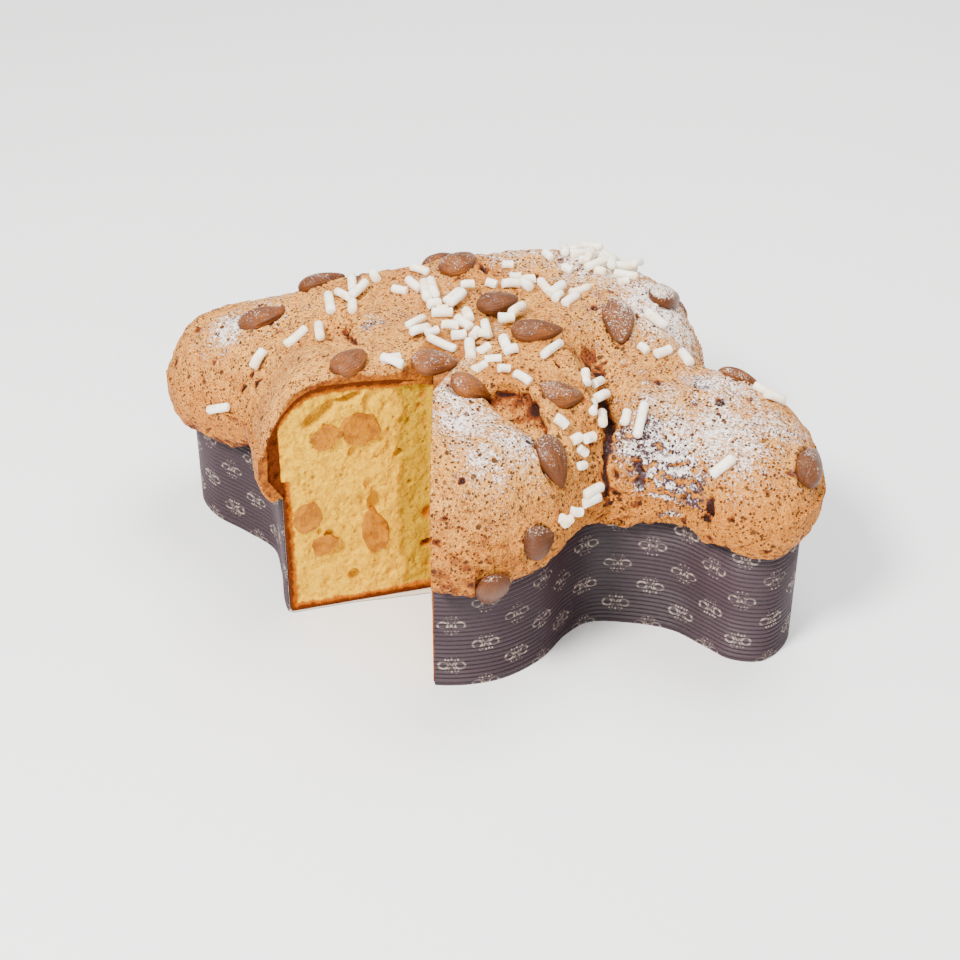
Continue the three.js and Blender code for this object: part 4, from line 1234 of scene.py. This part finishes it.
def strewn_rods():
    """Every rod of sugar that is strewn: its place, heading and length, the lone ones first."""
    rods = list(SUGAR_RODS)
    for heap, (x, y, long, short, turn, number) in enumerate(SUGAR_HEAPS):
        c, s = math.cos(math.radians(turn)), math.sin(math.radians(turn))
        for i in range(number):
            r = math.sqrt((i + 0.5) / number)
            u, v = long * r * math.cos(i * GOLDEN_ANGLE), short * r * math.sin(i * GOLDEN_ANGLE)
            heading = 180 * scatter(i, heap + 1)
            length = 8 + 5 * scatter(i, heap + 11)
            rods.append((x + u * c - v * s, y + u * s + v * c, heading, length))
    return rods


def axis_points(at, length, count):
    return [at @ Vector(((i / (count - 1) - 0.5) * length, 0, 0)) for i in range(count)]


def axis_distance(rod, other):
    """The least distance between the axes of two rods."""
    start, end = axis_points(other[0], other[1], 2)
    run = end - start
    best = 99
    for p in axis_points(rod[0], rod[1], 9):
        t = min(1, max(0, (p - start).dot(run) / run.length_squared))
        best = min(best, (start + run * t - p).length)
    return best


def rod_is_blocked(at, length):
    """True if a rod would touch an almond or reach too far over the missing slice."""
    for p in axis_points(at, length + 2, 5):
        if over_slice(p.x, p.y, -ROD_OVERHANG):
            return True
        for i, turned in enumerate(almond_frames):
            local = turned.inverted() @ p
            reach = ALMONDS[i][4] / 2 + ROD_RADIUS + ROD_ROOM
            half = ALMOND_WIDTH / 2 + ROD_RADIUS + ROD_ROOM
            if abs(local.z) < 12 and (local.x / reach) ** 2 + (local.y / half) ** 2 < 1:
                return True
    return False


def laid_rods():
    """The rods that find room, on the crust or across the ones that already lie there."""
    laid = []
    for i, (x, y, heading, length) in enumerate(strewn_rods()):
        sunk = ROD_SINK * (0.7 + 0.6 * scatter(i, 7))
        for raised in (0, ROD_RADIUS * 1.15):
            at = crust_frame(seat_on_top(x, y), heading, ROD_RADIUS - sunk + raised)
            if rod_is_blocked(at, length):
                break
            if all(axis_distance((at, length), other) > ROD_SPACING for other in laid):
                laid.append((at, length))
                break
    return laid


def model_rod(bend, seed):
    """One rod of pearl sugar along X, one unit long: rounded at its ends, bent and uneven."""
    deselect()
    bpy.ops.mesh.primitive_cylinder_add(
        vertices=9, radius=ROD_RADIUS, depth=1, rotation=(0, math.pi / 2, 0)
    )
    rod = bpy.context.object
    bpy.ops.object.transform_apply()
    work(rod, *((bpy.ops.mesh.bisect, {"plane_co": (cut, 0, 0), "plane_no": (1, 0, 0)})
                for cut in (-0.45, -0.2, 0.2, 0.45)))
    points = vectors_of(rod)
    points[np.abs(points[:, 0]) > 0.49, 1:] *= 0.68
    points[:, 2] += bend * (1 - (2 * points[:, 0]) ** 2)
    points[:, 1:] *= 1 + 0.1 * grain(points * (9, 1, 1), 1.7, seed)[:, None]
    rod.data.vertices.foreach_set("co", points.ravel())
    return rod


def strew_sugar():
    """All the pearl sugar on the glaze, as one mesh of copies of a few model rods."""
    models = [model_rod(0.0, 21), model_rod(0.7, 22), model_rod(-0.5, 23)]
    copies = []
    for i, (at, length) in enumerate(laid_rods()):
        mesh = models[i % len(models)].data.copy()
        wide = 0.8 + 0.2 * scatter(i, 31)
        stretch = Matrix.Diagonal((length, wide, wide, 1))
        mesh.transform(Matrix.Diagonal((MM, MM, MM, 1)) @ at @ stretch)
        copies.append(bpy.data.objects.new("rod", mesh))
        bpy.context.scene.collection.objects.link(copies[-1])
    for model in models:
        bpy.data.objects.remove(model)
    sugar = joined(copies, "pearl_sugar_rods")
    smooth(sugar, 55)
    return sugar


def grow_almond(i):
    """Almond i: a sphere drawn out to a point, flattened, furrowed from end to end."""
    deselect()
    bpy.ops.mesh.primitive_uv_sphere_add(
        segments=40, ring_count=28, radius=1, rotation=(0, math.pi / 2, 0)
    )
    name = f"almond_{i + 1:02d}"
    piece = named(bpy.context.object, "whole_" + name)
    bpy.ops.object.transform_apply()
    piece.data.uv_layers[0].name = "skin"
    p = vectors_of(piece)
    x = p[:, 0].copy()
    around = 2.0 * np.arctan2(p[:, 2], p[:, 1])
    ridges = [(2.2 * math.cos(a), 2.2 * math.sin(a), 0.35 * u + 9.1 * i) for a, u in zip(around, x)]
    furrow = np.array([noise.fractal(Vector(ridge), 0.9, 2.0, 3) for ridge in ridges])
    taper = (1 - 0.3 * x) * (1 + 0.055 * furrow * (1 - x**4))
    p[:, 0] = (x + 0.1 * x**3) * ALMONDS[i][4] / 2.2
    p[:, 1] *= taper * ALMOND_WIDTH / 2 * (0.94 + 0.12 * scatter(i, 41))
    p[:, 2] *= taper * ALMOND_THICKNESS / 2
    p[:, 1] += 0.5 * (scatter(i, 42) - 0.5) * (x**2) * 2
    put_points(piece, placed(p, almond_frames[i]))
    up = vectors_of(piece, "normal")[:, 2]
    amount = np.maximum(blots(points_of(piece), DUSTINGS), 0.42) * (0.6 + 0.5 * scatter(i, 43))
    write_layer(piece, "icing", amount * step(up, 0.1, 0.8))
    write_layer(piece, "shade_of_skin", np.full(len(p), scatter(i, 44) * 0.8))
    smooth(piece, 60)
    return piece, name


def cut_frame(side, distance, height):
    """A frame at a distance along one of the cuts: x runs along it, y up, z out of the bread."""
    start, end = (CUT_HEAD, CUT_CORNER) if side == "head" else (CUT_CORNER, CUT_TAIL)
    run = Vector((*(end - start), 0)).normalized()
    up = Vector((0, 0, 1))
    rotation = Matrix((run, up, run.cross(up))).transposed().to_4x4()
    return Matrix.Translation(Vector((*start, height)) + run * distance) @ rotation


def dice_peel(i):
    """Piece i of candied orange, sliced through flush with the cut and softly uneven."""
    side, distance, height, length, tallness, tilt = CANDIED[i]
    deselect()
    bpy.ops.mesh.primitive_ico_sphere_add(subdivisions=4, radius=1)
    name = f"candied_orange_{i + 1:02d}"
    piece = named(bpy.context.object, "peel_" + name)
    p = vectors_of(piece)
    p *= 1 + 0.3 * grain(p * 10, 9, 60 + i, 3)[:, None]
    p = np.sign(p) * np.abs(p) ** 0.86 * (length / 2, tallness / 2, 8)
    p[:, 2] = np.minimum(p[:, 2], 0.15 + 0.25 * grain(p, 5, 70 + i))
    turn = Matrix.Rotation(math.radians(tilt), 4, "Z")
    put_points(piece, placed(p, cut_frame(side, distance, height) @ turn))
    smooth(piece, 60)
    return piece, name


# ---------------------------------------------------------------- paper case


def fold_case():
    """The case: a ribbed wall that stops at the cuts, on a flat base with the slice cut away."""
    ring, out = finer(outline, 2), finer(outward, 2)
    tail_end = np.linalg.norm(ring - CUT_TAIL, axis=1).argmin()
    head_end = np.linalg.norm(ring - CUT_HEAD, axis=1).argmin()
    order = np.arange(tail_end, head_end + len(ring)) % len(ring)
    order = [i for i in order if not over_slice(*(ring[i] - out[i] * PAPER))]
    line, out = ring[order], out[order]
    run = np.r_[0, np.cumsum(np.linalg.norm(np.diff(line, axis=0), axis=1))]
    slack = np.minimum(SLACK * np.sin(run / 9.3) * np.sin(run / 23 + 1), 0)
    outside = np.linspace(0.0, CASE_HEIGHT, int(CASE_HEIGHT / RIB_PITCH * RIB_ROWS))
    inside = np.linspace(CASE_HEIGHT, 0.0, LINING_ROWS)

    def row(z, standing_out):
        wave = slack * (z / CASE_HEIGHT) ** 2
        return np.c_[line + out * (standing_out + wave)[:, None], np.full(len(line), z)]

    rows = []
    for z in outside:
        rib = RIB_DEPTH * (0.5 * math.cos(2 * math.pi * z / RIB_PITCH) - 0.5)
        rows.append(row(z, rib * min(1, z / 2) * min(1, CASE_HEIGHT - z) - SHY))
    rows += [row(z, -PAPER) for z in inside]
    rows.append(rows[0])
    wall = lattice("case_wall", np.stack(rows), closed=False)
    points = points_of(wall)
    uv = wall.data.uv_layers[0]
    uv.name = "wall"
    loops = np.empty(len(wall.data.loops), int)
    wall.data.loops.foreach_get("vertex_index", loops)
    across = np.tile(run, len(rows))[loops]
    uv.data.foreach_set(
        "uv", np.stack([across / MOTIF_WIDE, points[loops, 2] / MOTIF_TALL], 1).ravel()
    )
    lining = np.repeat([0.0] * len(outside) + [1.0] * len(inside) + [0.0], len(line))
    lining[np.abs(points[:, 2] - CASE_HEIGHT) < 0.01] = 0.5
    write_layer(wall, "lining", lining)
    under_lip = step(points[:, 2] - edge_value(points, 4), -9, -2)
    # Grease just under the lip, with painted shade where the overhang and the valley fall on the
    # paper
    write_layer(wall, "grease_and_shade", np.maximum(under_lip, blots(points, PAPER_SHADE_SPOTS)))
    work(wall, WELD, FILL)
    wall = joined([wall, case_base()], "ribbed_case")
    smooth(wall, 40)
    return wall


def case_base():
    """The case's flat base inside the wall, with a narrow strip of it left in the gap."""
    edge = outline - outward * (PAPER - 0.1)
    start = next(i for i, p in enumerate(edge) if over_slice(*p) and not over_slice(*edge[i - 1]))
    kept = [p for p in np.roll(edge, -start, axis=0) if not over_slice(*p)]
    head, tail = CUT_HEAD - CUT_CORNER, CUT_TAIL - CUT_CORNER
    middle = (head + tail) / 2
    tip = CUT_CORNER + middle / np.linalg.norm(middle) * BASE_STRIP
    plan = np.array(kept + [CUT_HEAD - head * 0.02, CUT_HEAD - head * 0.4, tip,
                            CUT_CORNER + tail * 0.5, CUT_CORNER + tail * 0.98])
    deselect()
    bpy.ops.mesh.primitive_circle_add(vertices=len(plan), radius=1, fill_type="NGON")
    base = bpy.context.object
    put_points(base, np.c_[plan, np.zeros(len(plan))])
    raised = {"TRANSFORM_OT_translate": {"value": (0, 0, PAPER * MM)}}
    work(base, (bpy.ops.mesh.extrude_region_move, raised),
         (bpy.ops.mesh.normals_make_consistent, {"inside": False}))
    write_layer(base, "lining", points_of(base)[:, 2] > PAPER / 2)
    write_layer(base, "grease_and_shade", np.zeros(len(base.data.vertices)))
    return base


# ---------------------------------------------------------------- table and lights


def lay_table():
    deselect()
    bpy.ops.mesh.primitive_plane_add(size=8, location=(0, 0, 0))
    table = bpy.context.object
    table.name = "table"
    table.data.materials.append(table_paint())


def soft_light(name, place, aim, size, watts, colour=(1, 1, 1)):
    bpy.ops.object.light_add(type="AREA", location=place)
    light = bpy.context.object
    light.name = name
    light.data.shape = "DISK"
    light.data.size = size
    light.data.energy = watts
    light.data.color = colour
    light.rotation_euler = (Vector(aim) - Vector(place)).to_track_quat("-Z", "Y").to_euler()


def light_studio():
    """Soft light from above and the left, with fills, on white surroundings."""
    world = bpy.context.scene.world or bpy.data.worlds.new("studio")
    bpy.context.scene.world = world
    world.use_nodes = True
    sky = world.node_tree.nodes["Background"]
    sky.inputs["Color"].default_value = (1, 1, 1, 1)
    sky.inputs["Strength"].default_value = 0.9
    soft_light("key", (-0.25, -0.8, 1.1), (0, 0, 0.05), 0.35, 42, (1, 0.98, 0.95))
    soft_light("top", (0.15, 0.45, 1.25), (0, 0, 0.05), 0.8, 20)
    soft_light("front", (0.5, -0.95, 0.4), (-0.03, -0.06, 0.05), 0.5, 5)


# ---------------------------------------------------------------- the loaf

crust_piece = bake_glaze()
finished(crust_piece, glaze_paint(), "glaze", "glaze")
finished(strew_sugar(), sugar_paint(), "glaze", "glaze")
finished(bake_crumb(), crumb_paint(), "cake", "cake")
finished(fold_case(), paper_paint(), "paper_case", "paper_case")
skin = almond_paint()
for number in range(len(ALMONDS)):
    nut, nut_node = grow_almond(number)
    finished(nut, skin, "almond", nut_node)
peel = candied_paint()
for number in range(len(CANDIED)):
    dice, dice_node = dice_peel(number)
    finished(dice, peel, "candied_orange", dice_node)
lay_table()
light_studio()
